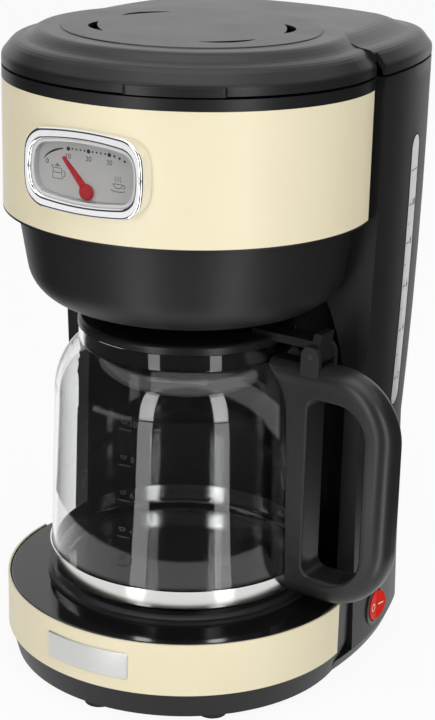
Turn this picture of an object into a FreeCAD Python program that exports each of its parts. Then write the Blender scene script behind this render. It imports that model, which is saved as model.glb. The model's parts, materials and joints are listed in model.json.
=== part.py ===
import FreeCAD
import Part
import math
import os

# Drip coffee maker. Z is up, the front looks along -Y, and all sizes are millimetres.
# The model is laid out about the brew axis, the common axis of the head, the base and the jug.
# Azimuths are degrees from the front, growing towards +X.

# Heights, from the table up
foot_height = 3.0
skirt_height = 15.0
base_band_height = 30.0
bay_height = 165.0
bowl_height = 50.3
band_lip = 1.2
head_band_height = 68.5
rim_height = 6.0
lid_gap = 1.4

# Round front of the head and of the base
front_radius = 100.0
band_thickness = 1.0
head_band_end = 101.5
base_band_end = 92.5
skirt_low_inset = 5.0
skirt_top_inset = 1.0
shell_wall = 2.5

# Rear tower, as seen from above
tower_front_y = 26.0
tower_proud = 1.3
waist_inset = 5.3
housing_foot_inset = 2.5
pan_inset = 5.3
pan_corner_y = 8.0
rear_y = 145.0
side_radius = 240.0
side_centre_y = 36.0
rear_radius = 200.0
corner_radius = 50.0
side_skirt_height = 7.0
lower_housing_height = 119.0
tower_steps = 6
tower_bow = 2.2

# Jug bay
bay_room = 15.5
bay_arch_start = 107.0
bay_arch_drop = 14.0
groove_width = 4.0
groove_depth = 2.0

# Brew head
bowl_floor_inset = 34.5
bowl_corner = 22.0
bowl_lean = 10.0
bowl_top_inset = 7.4
bowl_hole_radius = 14.5
guard_radius = 20.0
guard_wall = 2.5
guard_drop = 3.5
basket_ledge_drop = 14.5
basket_ledge_reach = 12.0

# Deck, warming plate and heater
deck_thickness = 2.5
deck_hole_radius = 74.0
plate_radius = 77.0
plate_top_radius = 71.0
plate_rise = 2.0
plate_sheet = 1.2
gasket_thickness = 0.6
gasket_width = 2.6
heater_inner_radius = 38.0
heater_outer_radius = 58.0
heater_depth = 11.0
heater_gap_angle = 70.0
spigot_length = 4.0
strap_width = 14.0
strap_reach = 66.0
strap_thickness = 2.0
thermostat_radius = 9.0
thermostat_height = 7.0
fuse_radius = 3.0
fuse_length = 16.0

# Feet and screws
foot_radius = 8.0
foot_setback = 14.5
foot_spread = 43.0
foot_rear_x = 58.0
foot_rear_y = 110.0
foot_stud_radius = 3.0
screw_radius = 1.8
screw_head_radius = 3.4
screw_head_height = 1.4
screw_length = 12.0
screw_front_azimuth = 75.0
screw_rear_x = 45.0
screw_rear_y = 124.0
boss_radius = 4.5

# Power switch, on the right side wall
switch_y = 55.5
switch_z = 26.2
switch_flange_radius = 12.4
switch_sleeve_radius = 11.0
switch_bore_radius = 9.8
switch_flange_sink = 1.2
switch_flange_proud = 0.8
switch_depth = 12.0
switch_body_depth = 13.0
rocker_radius = 9.0
rocker_tilt = 8.0
rocker_valley = 1.4
rocker_back = 5.0
rocker_pivot_sink = 1.0
rocker_pin_radius = 1.0
blade_width = 6.3
blade_length = 9.0
blade_thickness = 0.8
blade_offset = 5.0

# Cord inlet
gland_x = 0.0
gland_z = 30.0
gland_radius = 8.0
gland_sleeve_radius = 6.0
gland_bore_radius = 3.6
gland_flange = 2.0
gland_gap = 0.4

# Water path
tank_front_gap = 1.6
tank_side_gap = 1.0
tank_wall = 2.0
tank_floor_z = 60.0
tank_head_gap = 6.0
shelf_thickness = 3.0
shelf_setback = 48.0
outlet_x = -30.0
outlet_y = 118.0
outlet_radius = 5.0
outlet_bore = 3.2
seal_height = 1.6
valve_body_radius = 8.0
valve_body_height = 12.0
hose_radius = 5.0
hose_bore = 3.2
hose_bend = 8.0
hose_drop = 15.0
hose_room = 2.0
riser_drop = 11.0
riser_x = 66.0
riser_gap = 5.3
arm_z = 341.0
arm_radius = 4.0
shower_radius = 20.0
shower_height = 4.0

# Level window, in the right side wall of the tower
window_y = 76.5
window_width = 15.0
window_low_z = 143.0
window_high_z = 301.0

# Time dial
dial_z = 299.0
bezel_half_width = 35.2
bezel_half_height = 21.8
bezel_corner = 13.0
bezel_bulge = 2.6
bezel_proud = 3.2
bezel_rim_side = 4.2
bezel_rim_top = 5.8
bezel_round = 1.6
pod_wall = 1.2
pod_depth = 17.0
pod_lip = 0.6
dial_sink = 6.0
dial_thickness = 1.0
lens_sink = 2.2
lens_thickness = 1.0
hub_drop = 10.2
hub_radius = 4.2
hub_height = 1.4
needle_length = 21.5
needle_thickness = 0.7
needle_tip_width = 1.8
needle_root_width = 4.2
needle_angle = 41.7
needle_shaft_radius = 0.8
needle_shaft_depth = 3.0
movement_radius = 9.0
movement_depth = 8.0

# Badge plate
badge_half_angle = 14.7
badge_low = 7.3
badge_height = 15.5
badge_thickness = 0.9
badge_corner = 1.2
badge_bevel = 0.5

# Filter basket and drip stop
basket_top_inset = 20.0
basket_flange_inset = 8.0
basket_floor_radius = 44.0
basket_floor_rise = 25.0
basket_wall = 2.0
nozzle_radius = 13.0
nozzle_bore = 11.0
nozzle_drop = 22.0
stem_radius = 3.0
stem_hole_radius = 4.2
stem_pad_radius = 9.0
stem_pad_height = 2.0
stem_pad_drop = 4.5
valve_disc_radius = 8.0
valve_disc_height = 2.0
drip_seal_height = 1.0
spring_radius = 7.0
spring_wire = 0.9
spring_turns = 6

# Lid
lid_skirt = 4.6
lid_bevel_rise = 8.0
lid_bevel_inset = 6.5
lid_shelf_inset = 10.5
lid_shelf_rise = 0.3
lid_cove_rise = 5.0
lid_cove_inset = 21.0
lid_rear_cove_inset = 29.0
lid_wall = 2.2
lid_skirt_round = 1.4
lid_crest_round = 3.2
lid_round_steps = 3
lid_steps = 6
disc_inset = 31.0
disc_sink = 1.2
disc_proud = 0.5
vent_outer_radius = 22.7
vent_outer_centre = 32.0
vent_inner_radius = 80.0
vent_inner_centre = -30.3
vent_front_azimuth = 52.0
vent_rear_azimuth = 118.0
vent_room = 1.0
liner_inset = 26.0
liner_wall = 1.6
liner_drop = 5.0
tab_azimuth = 26.5
tab_half_angle = 14.5
tab_reach = 3.0
tab_height = 4.4
hinge_behind = 4.0
hinge_rise = 4.0
hinge_radius = 4.8
hinge_pin_radius = 2.0
hinge_half_width = 28.0
ear_thickness = 6.0

# Jug
jug_lift = 0.1
jug_glass_radius = 75.0
jug_shoulder_radius = 73.0
jug_shoulder_z = 158.0
jug_neck_radius = 59.7
jug_neck_z = 187.0
jug_rim_z = 195.8
jug_base_radius = 67.0
jug_belly_z = 62.0
jug_wall = 2.2
spout_radius = 22.0
spout_centre = 47.0
spout_lean = 50.0
spout_rise = 1.6
strap_low_z = 57.5
strap_high_z = 67.5
jug_strap_thickness = 0.9

# Jug handle, measured out from the brew axis
handle_azimuth = 86.0
handle_half_width = 9.5
handle_reach = 136.5
handle_top_z = 190.5
handle_low_z = 55.5
handle_corner = 38.0
cover_side = 12.5
cover_end = 11.5
cover_overlap = 0.4
cover_round = 8.6
handle_foot_reach = 96.0
handle_foot_high = 69.0
handle_bar_outer = 85.5
grip_inner = 121.0
open_high_z = 172.5
open_low_z = 70.0
open_corner = 18.0
open_jug_corner = 6.0
open_round = 1.2
handle_screw_z = 62.5
handle_screw_radius = 2.0
handle_screw_head = 3.6

# Jug lid
lid_axis_radius = 86.0
lid_axis_z = 195.5
lid_barrel_radius = 5.6
lid_pin_radius = 1.5
lid_ear_thickness = 3.0
jug_lid_gap = 0.4
jug_lid_radius = 60.2
jug_lid_top_z = 201.0
jug_lid_arm_start = 47.0
jug_lid_arm_top = 203.5
skirt_ring_radius = 57.0
skirt_ring_wall = 2.0
skirt_ring_low = 185.6
lever_top_z = 208.0
lever_lean = 2.0
lever_half = 3.0

# Clearances
slip = 0.1
running = 0.05
clear = 0.3

# Levels that follow from the heights
pan_z = foot_height
skirt_seam = pan_z + side_skirt_height
skirt_top = pan_z + skirt_height
deck_top = skirt_top + base_band_height
deck_low = deck_top - deck_thickness
tower_seam = skirt_seam + lower_housing_height
bowl_floor = deck_top + bay_height
head_seat = bowl_floor + bowl_height
band_low = head_seat + band_lip
band_high = band_low + head_band_height
rim_top = band_high + rim_height
lid_low = rim_top + lid_gap
plate_low = deck_top + gasket_thickness
plate_top = plate_low + plate_sheet + plate_rise
plate_under = plate_top - plate_sheet
jug_low = plate_top + jug_lift
wall_radius = front_radius - band_thickness - slip

# Widths that follow from the round front and from the jug
skirt_low_radius = front_radius - skirt_low_inset
skirt_top_radius = front_radius - skirt_top_inset
tower_half_width = front_radius + tower_proud
waist_half_width = tower_half_width - waist_inset
foot_half_width = tower_half_width - housing_foot_inset
pan_half_width = tower_half_width - pan_inset
bowl_floor_radius = front_radius - bowl_floor_inset
bowl_top_radius = front_radius - bowl_top_inset
foot_circle = front_radius - foot_setback
basket_top_radius = front_radius - basket_top_inset
basket_flange_radius = front_radius - basket_flange_inset
disc_radius = front_radius - disc_inset
liner_radius = front_radius - liner_inset
bay_radius = jug_glass_radius + bay_room

# Places that follow from the other sizes
riser_y = math.sqrt((wall_radius + hose_radius + riser_gap) ** 2 - riser_x ** 2)
hinge_y = rear_y + hinge_behind
hinge_z = rim_top + hinge_rise
dial_front = -(front_radius + bezel_proud)
hub_z = dial_z - hub_drop
UP = FreeCAD.Vector(0, 0, 1)
ORIGIN = FreeCAD.Vector(0, 0, 0)
far = 400.0


def vec(x, y, z):
    return FreeCAD.Vector(x, y, z)


def side(r, z):
    """A point of a turned section, at radius r and height z."""
    return vec(r, 0, z)


def cylinder(radius, low, high, x=0.0, y=0.0):
    return Part.makeCylinder(radius, high - low, vec(x, y, low))


def ring(outer, inner, low, high, x=0.0, y=0.0):
    return cylinder(outer, low, high, x, y).cut(cylinder(inner, low - 1, high + 1, x, y))


def block(x0, x1, y0, y1, z0, z1):
    return Part.makeBox(x1 - x0, y1 - y0, z1 - z0, vec(x0, y0, z0))


def rod(radius, start, end):
    """A round bar between two points."""
    run = end - start
    return Part.makeCylinder(radius, run.Length, start, run)


def outline(points, place):
    """Closed wire through points. An entry of two points is an arc through the first to the second."""
    edges = []
    first = place(*points[0])
    start = first
    for step in points[1:]:
        if isinstance(step[0], tuple):
            end = place(*step[1])
            edges.append(Part.Arc(start, place(*step[0]), end).toShape())
        else:
            end = place(*step)
            if start.distanceToPoint(end) > 1e-6:
                edges.append(Part.LineSegment(start, end).toShape())
        start = end
    if start.distanceToPoint(first) > 1e-6:
        edges.append(Part.LineSegment(start, first).toShape())
    return Part.Wire(edges)


def upright_arc(away, upright):
    """Middle of the arc that stands upright at one of its two ends."""
    across = upright[0] - away[0]
    rise = away[1] - upright[1]
    bend = (across ** 2 + rise ** 2) / (2 * across)
    half = math.asin(max(-1.0, min(1.0, rise / bend))) / 2
    return upright[0] - bend * (1 - math.cos(half)), upright[1] + bend * math.sin(half)


def turned(points, angle=360.0):
    """Solid of revolution about the brew axis from a section of (radius, height) points."""
    return Part.Face(outline(points, side)).revolve(ORIGIN, UP, angle)


def to_azimuth(shape, azimuth):
    """Turns a shape built along +X to an azimuth."""
    turned_shape = shape.copy()
    turned_shape.rotate(ORIGIN, UP, azimuth - 90.0)
    return turned_shape


def sector(radius, low, high, start, end):
    """Wedge of a cylinder between two azimuths."""
    wedge = Part.makeCylinder(radius, high - low, vec(0, 0, low), UP, end - start)
    return to_azimuth(wedge, start)


def band(outer, inner, low, high, start, end):
    """Part of a ring between two azimuths."""
    return sector(outer, low, high, start, end).cut(cylinder(inner, low - 1, high + 1))


def at_azimuth(radius, azimuth):
    angle = math.radians(azimuth)
    return radius * math.sin(angle), -radius * math.cos(angle)


def behind(y, low, high):
    """Everything behind a plane across the machine."""
    return block(-far, far, y, far, low, high)


def edges_where(shape, test):
    return [edge for edge in shape.Edges if test(edge.BoundBox)]


def pipe(points, bends, radius):
    """Round bar along straight runs, with a tangent arc of the given radius at each inner point."""
    edges = []
    start = points[0]
    for before, corner, after, bend in zip(points, points[1:], points[2:], bends):
        back = (before - corner).normalize()
        ahead = (after - corner).normalize()
        half_turn = (math.pi - back.getAngle(ahead)) / 2
        reach = bend * math.tan(half_turn)
        enter = corner + back * reach
        leave = corner + ahead * reach
        inward = (back + ahead).normalize()
        middle = corner + inward * (bend / math.cos(half_turn) - bend)
        edges.append(Part.LineSegment(start, enter).toShape())
        edges.append(Part.Arc(enter, middle, leave).toShape())
        start = leave
    edges.append(Part.LineSegment(start, points[-1]).toShape())
    path = Part.Wire(edges)
    circle = Part.Wire(Part.makeCircle(radius, points[0], points[1] - points[0]))
    bar = path.makePipeShell([circle], True, False)
    return Part.Solid(bar.Shells[0]) if bar.Volume > 0 else Part.Solid(bar.Shells[0]).reversed()


# Plan of the rear tower: two long side arcs and a rear arc, joined by round corners
side_centre = (tower_half_width - side_radius, side_centre_y)
rear_centre = (0.0, rear_y - rear_radius)


def corner_centre():
    """Centre of the right rear corner, tangent to the side arc and to the rear arc."""
    reach_side = side_radius - corner_radius
    reach_rear = rear_radius - corner_radius
    dx = rear_centre[0] - side_centre[0]
    dy = rear_centre[1] - side_centre[1]
    apart = math.hypot(dx, dy)
    along = (reach_side ** 2 - reach_rear ** 2 + apart ** 2) / (2 * apart)
    across = math.sqrt(reach_side ** 2 - along ** 2)
    x = side_centre[0] + (along * dx - across * dy) / apart
    y = side_centre[1] + (along * dy + across * dx) / apart
    return x, y


def arc_edge(centre, radius, start, end, z, mirror=1.0):
    points = []
    for angle in (start, (start + end) / 2, end):
        x = centre[0] + radius * math.cos(angle)
        points.append(vec(mirror * x, centre[1] + radius * math.sin(angle), z))
    return Part.Arc(*points).toShape()


def rear_wire(half_width, z, front_y):
    """Outline of the tower at one height. A smaller half width insets the whole outline."""
    inset = tower_half_width - half_width
    corner = corner_centre()
    side_r = side_radius - inset
    start = math.asin((front_y - side_centre[1]) / side_r)
    to_corner = math.atan2(corner[1] - side_centre[1], corner[0] - side_centre[0])
    to_rear = math.atan2(corner[1] - rear_centre[1], corner[0] - rear_centre[0])
    edges = [
        arc_edge(side_centre, side_r, start, to_corner, z),
        arc_edge(corner, corner_radius - inset, to_corner, to_rear, z),
        arc_edge(rear_centre, rear_radius - inset, to_rear, math.pi - to_rear, z),
        arc_edge(corner, corner_radius - inset, to_rear, to_corner, z, -1.0),
        arc_edge(side_centre, side_r, to_corner, start, z, -1.0),
    ]
    first = edges[0].Vertexes[0].Point
    x = side_centre[0] + side_r * math.cos(start)
    edges.append(Part.LineSegment(vec(-x, front_y, z), first).toShape())
    return Part.Wire(edges)


def rear_block(levels, front_y):
    """Solid of the tower's outline through (height, half width) levels."""
    wires = [rear_wire(half_width, z, front_y) for z, half_width in levels]
    return Part.makeLoft(wires, True, True)


def side_x(half_width, y):
    """Where the right side wall is at y."""
    side_r = side_radius - (tower_half_width - half_width)
    return side_centre[0] + math.sqrt(side_r ** 2 - (y - side_centre[1]) ** 2)


def housing_half_width(z):
    share = (z - skirt_seam) / lower_housing_height
    return foot_half_width + share * (waist_half_width - foot_half_width)


# Bowl under the brew head


def bowl_section(inset):
    """Outer section of the bowl from its floor up to the band's lip, moved inwards by a wall."""
    lean = math.radians(bowl_lean)
    half = (math.pi / 2 + lean) / 2
    centre_z = bowl_floor + bowl_corner
    bend = bowl_corner - inset
    end = (bowl_floor_radius + bend * math.cos(lean), centre_z - bend * math.sin(lean))
    middle = (bowl_floor_radius + bend * math.cos(half), centre_z - bend * math.sin(half))
    return (bowl_floor_radius, centre_z - bend), (middle, end), (bowl_top_radius - inset, head_seat)


def bowl_solid(inset, top):
    """The bowl filled up to a height, with the round wall above it."""
    start, bend, rim = bowl_section(inset)
    wall = wall_radius - inset
    lip = head_seat + inset
    points = [(0, start[1]), start, bend, rim, (rim[0], lip), (wall, lip), (wall, top), (0, top)]
    return turned(points)


def bay_solid(grow):
    """Space of the jug bay: a cylinder whose top arches in to the bowl."""
    low = deck_low
    start = deck_top + bay_arch_start
    radius = bay_radius + grow
    arch = (radius, start)
    end = (radius - bay_arch_drop, bowl_floor + shell_wall)
    return turned([(0, low), (radius, low), arch, (upright_arc(end, arch), end), (0, end[1])])


# Base


def foot_places():
    places = [at_azimuth(foot_circle, azimuth) for azimuth in (-foot_spread, 0.0, foot_spread)]
    return places + [(-foot_rear_x, foot_rear_y), (foot_rear_x, foot_rear_y)]


def front_screw_places():
    reach = foot_circle
    return [at_azimuth(reach, -screw_front_azimuth), at_azimuth(reach, screw_front_azimuth)]


def rear_screw_places():
    return [(-screw_rear_x, screw_rear_y), (screw_rear_x, screw_rear_y)]


def screw_places():
    return front_screw_places() + rear_screw_places()


def make_feet():
    stud_top = pan_z + shell_wall
    feet = []
    for x, y in foot_places():
        foot = cylinder(foot_radius, 0, pan_z, x, y)
        feet.append(foot.fuse(cylinder(foot_stud_radius, pan_z - 1, stud_top + 1, x, y)))
    return Part.makeCompound([foot.removeSplitter() for foot in feet])


def make_base_pan():
    floor = pan_z + shell_wall
    front = turned([(0, pan_z), (skirt_low_radius, pan_z), (skirt_top_radius, skirt_top), (0, skirt_top)])
    front = front.cut(behind(tower_front_y, 0, far))
    rear = rear_block([(pan_z, pan_half_width), (skirt_seam, foot_half_width)], pan_corner_y)
    inner_low = skirt_low_radius - shell_wall
    inner_top = wall_radius - shell_wall
    over = skirt_top + 1
    room = turned([(0, floor), (inner_low, floor), (inner_top, skirt_top), (inner_top, over), (0, over)])
    room = room.cut(behind(tower_front_y, 0, far))
    levels = [(floor, pan_half_width - shell_wall), (over, foot_half_width - shell_wall)]
    rear_room = rear_block(levels, pan_corner_y + shell_wall)
    pan = front.fuse(rear).cut(room.fuse(rear_room))
    end = 90 + math.degrees(math.asin((tower_front_y - slip) / wall_radius))
    pan = pan.fuse(band(wall_radius, inner_top, skirt_top - 1, deck_low, -end, end))
    for x, y in foot_places():
        pan = pan.cut(cylinder(foot_stud_radius + running, 0, floor + 1, x, y))
    for x, y in screw_places():
        pan = pan.cut(cylinder(screw_radius + slip, 0, floor + 1, x, y))
        pan = pan.cut(cylinder(screw_head_radius + clear, 0, pan_z + screw_head_height + slip, x, y))
    return pan.removeSplitter()


def make_pan_screws():
    low = pan_z + slip
    screws = []
    for x, y in screw_places():
        head = cylinder(screw_head_radius, low, low + screw_head_height, x, y)
        screws.append(head.fuse(cylinder(screw_radius, low, low + screw_length, x, y)))
    return Part.makeCompound([screw.removeSplitter() for screw in screws])


def switch_place(shape):
    """Moves a piece of the switch, built with +X outwards, onto the side wall."""
    half_width = housing_half_width(switch_z)
    turn = math.degrees(math.asin((switch_y - side_centre_y) / side_radius))
    placed = shape.copy()
    placed.rotate(ORIGIN, UP, turn)
    placed.translate(vec(side_x(half_width, switch_y), switch_y, switch_z))
    return placed


def switch_cylinder(radius, low, high):
    return Part.makeCylinder(radius, high - low, vec(low, 0, 0), vec(1, 0, 0))


def gland_wall_y():
    """Rear face of the housing at the inlet gland."""
    inset = tower_half_width - housing_half_width(gland_z)
    return rear_centre[1] + math.sqrt((rear_radius - inset) ** 2 - gland_x ** 2)


def gland_cylinder(radius, start, end):
    return Part.makeCylinder(radius, end - start, vec(gland_x, start, gland_z), vec(0, 1, 0))


def make_lower_housing():
    levels = [(skirt_seam, foot_half_width), (tower_seam, waist_half_width)]
    inner = [(z, half_width - shell_wall) for z, half_width in levels]
    solid = rear_block(levels, tower_front_y)
    room = rear_block(inner, tower_front_y + shell_wall)
    room = room.cut(cylinder(bay_radius + shell_wall, deck_low - shell_wall, far))
    housing = solid.cut(room).cut(cylinder(bay_radius, deck_low, far))
    housing = housing.cut(cylinder(bay_radius - shell_wall, 0, deck_low))
    shelf = rear_block([(z, width + 1) for z, width in inner], tower_front_y)
    shelf_low = tank_floor_z - shelf_thickness
    shelf = shelf.common(block(-far, far, tower_front_y, far, shelf_low, tank_floor_z))
    shelf = shelf.cut(cylinder(bay_radius + shell_wall - 1, 0, far))
    shelf = shelf.common(behind(tower_front_y + shelf_setback, 0, far))
    shelf = shelf.cut(cylinder(outlet_radius + seal_height + clear, 0, far, outlet_x, outlet_y))
    shelf = shelf.cut(cylinder(hose_radius + hose_room, 0, far, riser_x, riser_y))
    housing = housing.fuse(shelf)
    for x, y in rear_screw_places():
        boss = cylinder(boss_radius, pan_z + shell_wall, shelf_low + 1, x, y)
        housing = housing.fuse(boss)
    for x, y in rear_screw_places():
        housing = housing.cut(cylinder(screw_radius + slip, 0, pan_z + screw_length + 1, x, y))
    housing = housing.cut(switch_place(switch_cylinder(switch_sleeve_radius + slip, -30, 10)))
    seat = switch_cylinder(switch_flange_radius + slip, -switch_flange_sink, 10)
    housing = housing.cut(switch_place(seat))
    wall_y = gland_wall_y()
    housing = housing.cut(gland_cylinder(gland_sleeve_radius + slip, wall_y - 10, wall_y + 10))
    return housing.removeSplitter()


def make_base_deck():
    front = cylinder(wall_radius, deck_low, deck_top).cut(behind(tower_front_y - slip, 0, far))
    deck = front.fuse(cylinder(bay_radius - clear, deck_low, deck_top)).removeSplitter()
    outer = edges_where(deck, lambda box: box.ZMin > deck_top - 0.01 and box.YMax < tower_front_y
                        and box.XLength > front_radius)
    deck = deck.makeFillet(deck_thickness * 0.6, outer)
    deck = deck.cut(cylinder(deck_hole_radius, 0, far))
    for x, y in front_screw_places():
        boss = cylinder(boss_radius, pan_z + shell_wall, deck_low + 1, x, y)
        deck = deck.fuse(boss).cut(cylinder(screw_radius + slip, 0, pan_z + screw_length + 1, x, y))
    return deck.removeSplitter()


def make_base_band():
    return band(front_radius, wall_radius + slip, skirt_top, deck_top, -base_band_end, base_band_end)


def make_badge_plate():
    low = skirt_top + badge_low
    inner = front_radius + slip
    plate = band(inner + badge_thickness, inner, low, low + badge_height, -badge_half_angle, badge_half_angle)
    corners = edges_where(plate, lambda box: box.ZLength < 0.01 and box.XLength < 2 * badge_thickness)
    plate = plate.makeFillet(badge_corner, corners)
    front = min(plate.Faces, key=lambda face: face.CenterOfMass.y)
    return plate.makeChamfer(badge_bevel, front.Edges)


def make_plate_gasket():
    return ring(plate_radius, plate_radius - gasket_width, deck_top, plate_low)


def make_warming_plate():
    slope = plate_rise + 1.0
    flange = plate_low + plate_sheet
    points = [
        (0, plate_under), (plate_top_radius, plate_under), (plate_top_radius + slope - 1, plate_low),
        (plate_radius, plate_low), (plate_radius, flange), (plate_top_radius + slope, flange),
        (plate_top_radius + 1, plate_top), (0, plate_top),
    ]
    return turned(points)


def heater_low():
    return plate_under - heater_depth


def heater_ends():
    """Centres of the water tube's two ends, at the back of the heater ring."""
    middle = (heater_inner_radius + heater_outer_radius) / 2
    away = 180.0 - heater_gap_angle / 2
    return at_azimuth(middle, -away), at_azimuth(middle, away)


def make_heater_casting():
    low = heater_low()
    half = (heater_outer_radius - heater_inner_radius) / 2
    middle = heater_inner_radius + half
    section = [
        (heater_inner_radius, plate_under), (heater_inner_radius, low + half),
        ((middle, low), (heater_outer_radius, low + half)), (heater_outer_radius, plate_under),
    ]
    away = 180.0 - heater_gap_angle / 2
    casting = to_azimuth(turned(section, 2 * away), -away)
    for x, y in heater_ends():
        casting = casting.fuse(cylinder(outlet_radius, low - spigot_length, low + half, x, y))
        casting = casting.cut(cylinder(outlet_bore, 0, low + half, x, y))
    return casting.removeSplitter()


def make_heater_strap():
    """Cross bar under the heater, with legs down to the tray."""
    high = heater_low()
    low = high - strap_thickness
    reach = strap_reach
    half = strap_width / 2
    strap = block(-reach, reach, -half, half, low, high)
    for leg in (-reach, reach - strap_thickness):
        strap = strap.fuse(block(leg, leg + strap_thickness, -half, half, pan_z + shell_wall, high))
    return strap.removeSplitter()


def make_thermostat():
    body = cylinder(thermostat_radius, plate_under - thermostat_height, plate_under)
    low = heater_low()
    post = cylinder(thermostat_radius / 3, low, plate_under)
    return body.fuse(post).removeSplitter()


def make_thermal_fuse():
    low = heater_low()
    centre = vec(-fuse_length / 2, 0, low - strap_thickness - fuse_radius)
    return rod(fuse_radius, centre, centre + vec(fuse_length, 0, 0))


def make_switch_bezel():
    flange = switch_cylinder(switch_flange_radius, -switch_flange_sink, switch_flange_proud)
    rim = edges_where(flange, lambda box: box.XMin > switch_flange_proud - 0.01 and box.XLength < 0.01)
    flange = flange.makeFillet(switch_flange_proud * 0.9, rim)
    bezel = flange.fuse(switch_cylinder(switch_sleeve_radius, -switch_depth, 0))
    bezel = bezel.cut(switch_cylinder(switch_bore_radius, -switch_depth - 1, 5))
    pin = rod(rocker_pin_radius + running, vec(-rocker_pivot_sink, 0, -20), vec(-rocker_pivot_sink, 0, 20))
    inside = switch_cylinder(switch_sleeve_radius + 1, -far, far)
    return switch_place(bezel.cut(pin.common(inside)).removeSplitter())


def make_switch_body():
    body = switch_cylinder(switch_sleeve_radius, -switch_depth - switch_body_depth, -switch_depth)
    back = -switch_depth - switch_body_depth
    half = blade_width / 2
    edge = blade_thickness / 2
    for y in (-blade_offset, blade_offset):
        blade = block(back - blade_length, back + 1, y - edge, y + edge, -half, half)
        body = body.fuse(blade)
    return switch_place(body.removeSplitter())


def make_switch_rocker():
    """Round rocker with a shallow V face, held at rest with its front half pressed in."""
    rise = math.tan(math.radians(rocker_tilt)) * rocker_radius
    section = [
        (-rocker_back, -rocker_radius), (rocker_valley + rise, -rocker_radius), (rocker_valley, 0),
        (rocker_valley + rise, rocker_radius), (-rocker_back, rocker_radius),
    ]
    wedge = Part.Face(outline(section, lambda x, y: vec(x, y, -rocker_radius)))
    rocker = wedge.extrude(vec(0, 0, 2 * rocker_radius)).common(switch_cylinder(rocker_radius, -far, far))
    pin_reach = switch_sleeve_radius - slip
    pivot = vec(-rocker_pivot_sink, 0, 0)
    rocker = rocker.fuse(rod(rocker_pin_radius, pivot - UP * pin_reach, pivot + UP * pin_reach))
    rocker = rocker.removeSplitter()
    rocker.rotate(pivot, UP, -rocker_tilt)
    return switch_place(rocker)


def make_cord_gland():
    wall_y = gland_wall_y()
    gland = gland_cylinder(gland_radius, wall_y + gland_gap, wall_y + gland_gap + gland_flange)
    gland = gland.fuse(gland_cylinder(gland_sleeve_radius, wall_y - 3 * shell_wall, wall_y + 1))
    gland = gland.cut(gland_cylinder(gland_bore_radius, wall_y - 20, wall_y + 20))
    return gland.removeSplitter()


# Water path


def tank_front_y():
    return wall_radius + tank_front_gap


def tank_levels(inset, low, high):
    """Tank outline, which keeps its gap to the tower's wall as the tower leans out."""
    narrow = waist_half_width - shell_wall - tank_side_gap - inset
    return [(low, narrow), (high, narrow)]


def tank_high():
    return band_high - tank_head_gap


def make_water_tank():
    front = tank_front_y()
    tank = rear_block(tank_levels(0, tank_floor_z, tank_high()), tower_front_y).common(behind(front, 0, far))
    room = rear_block(tank_levels(tank_wall, tank_floor_z + tank_wall, far), tower_front_y)
    tank = tank.cut(room.common(behind(front + tank_wall, 0, 2 * far)))
    tank = tank.fuse(cylinder(outlet_radius, valve_high(), tank_floor_z + 1, outlet_x, outlet_y))
    tank = tank.cut(cylinder(outlet_bore, 0, tank_floor_z + 2 * tank_wall, outlet_x, outlet_y))
    return tank.removeSplitter()


def make_tank_seal():
    high = tank_floor_z - slip
    low = high - shelf_thickness + slip
    return ring(outlet_radius + seal_height, outlet_radius + slip, low, high, outlet_x, outlet_y)


def valve_high():
    return tank_floor_z - shelf_thickness - spigot_length


def make_check_valve():
    high = valve_high()
    low = high - valve_body_height
    body = cylinder(valve_body_radius, low, high, outlet_x, outlet_y)
    body = body.fuse(cylinder(outlet_radius, low - spigot_length, low + 1, outlet_x, outlet_y))
    return body.cut(cylinder(outlet_bore, 0, far, outlet_x, outlet_y)).removeSplitter()


def hose_from(points, bends):
    return pipe(points, bends, hose_radius).cut(pipe(points, bends, hose_bore))


def make_cold_hose():
    x, y = heater_ends()[0]
    start = valve_high() - valve_body_height - spigot_length
    top = heater_low() - spigot_length
    low = start - hose_drop
    points = [
        vec(outlet_x, outlet_y, start), vec(outlet_x, outlet_y, low), vec(x, y, low), vec(x, y, top),
    ]
    return hose_from(points, [hose_bend, hose_bend])


def riser_high():
    return band_high - 2 * hose_radius


def make_riser_tube():
    x, y = heater_ends()[1]
    top = heater_low() - spigot_length
    low = top - riser_drop
    points = [vec(x, y, top), vec(x, y, low), vec(riser_x, riser_y, low), vec(riser_x, riser_y, riser_high())]
    return hose_from(points, [hose_bend, hose_bend])


def make_shower_arm():
    start = vec(riser_x, riser_y, riser_high())
    points = [start, vec(riser_x, riser_y, arm_z), vec(0, 0, arm_z)]
    arm = pipe(points, [2 * arm_radius], arm_radius)
    low = arm_z - arm_radius / 2 - shower_height
    head = cylinder(shower_radius, low, low + shower_height)
    head = head.fuse(cylinder(arm_radius * 1.4, low, arm_z + arm_radius * 0.8))
    return arm.fuse(head).removeSplitter()


# Tower and head


def tower_levels(inset):
    """Half widths up the tower, which is nearly upright at the head and draws in to the waist."""
    levels = []
    for step in range(tower_steps + 1):
        share = step / tower_steps
        swell = 1 - (1 - share) ** tower_bow
        half_width = waist_half_width + swell * (tower_half_width - waist_half_width)
        levels.append((tower_seam + share * (band_high - tower_seam), half_width - inset))
    return levels


def tower_walls():
    """Outer skin of the upper tower, before the window and the head are cut from it."""
    solid = rear_block(tower_levels(0), tower_front_y)
    room = rear_block(tower_levels(shell_wall), tower_front_y + shell_wall).cut(bay_solid(shell_wall))
    return solid.cut(room).cut(bay_solid(0))


def window_slot(inset):
    """Upright slot with round ends, through the right wall."""
    half = window_width / 2 - inset
    low = window_low_z + window_width / 2
    high = window_high_z - window_width / 2
    points = [
        (window_y - half, low), ((window_y, low - half), (window_y + half, low)),
        (window_y + half, high), ((window_y, high + half), (window_y - half, high)),
    ]
    start = 0.8 * front_radius
    face = Part.Face(outline(points, lambda y, z: vec(start, y, z)))
    return face.extrude(vec(start, 0, 0))


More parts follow.
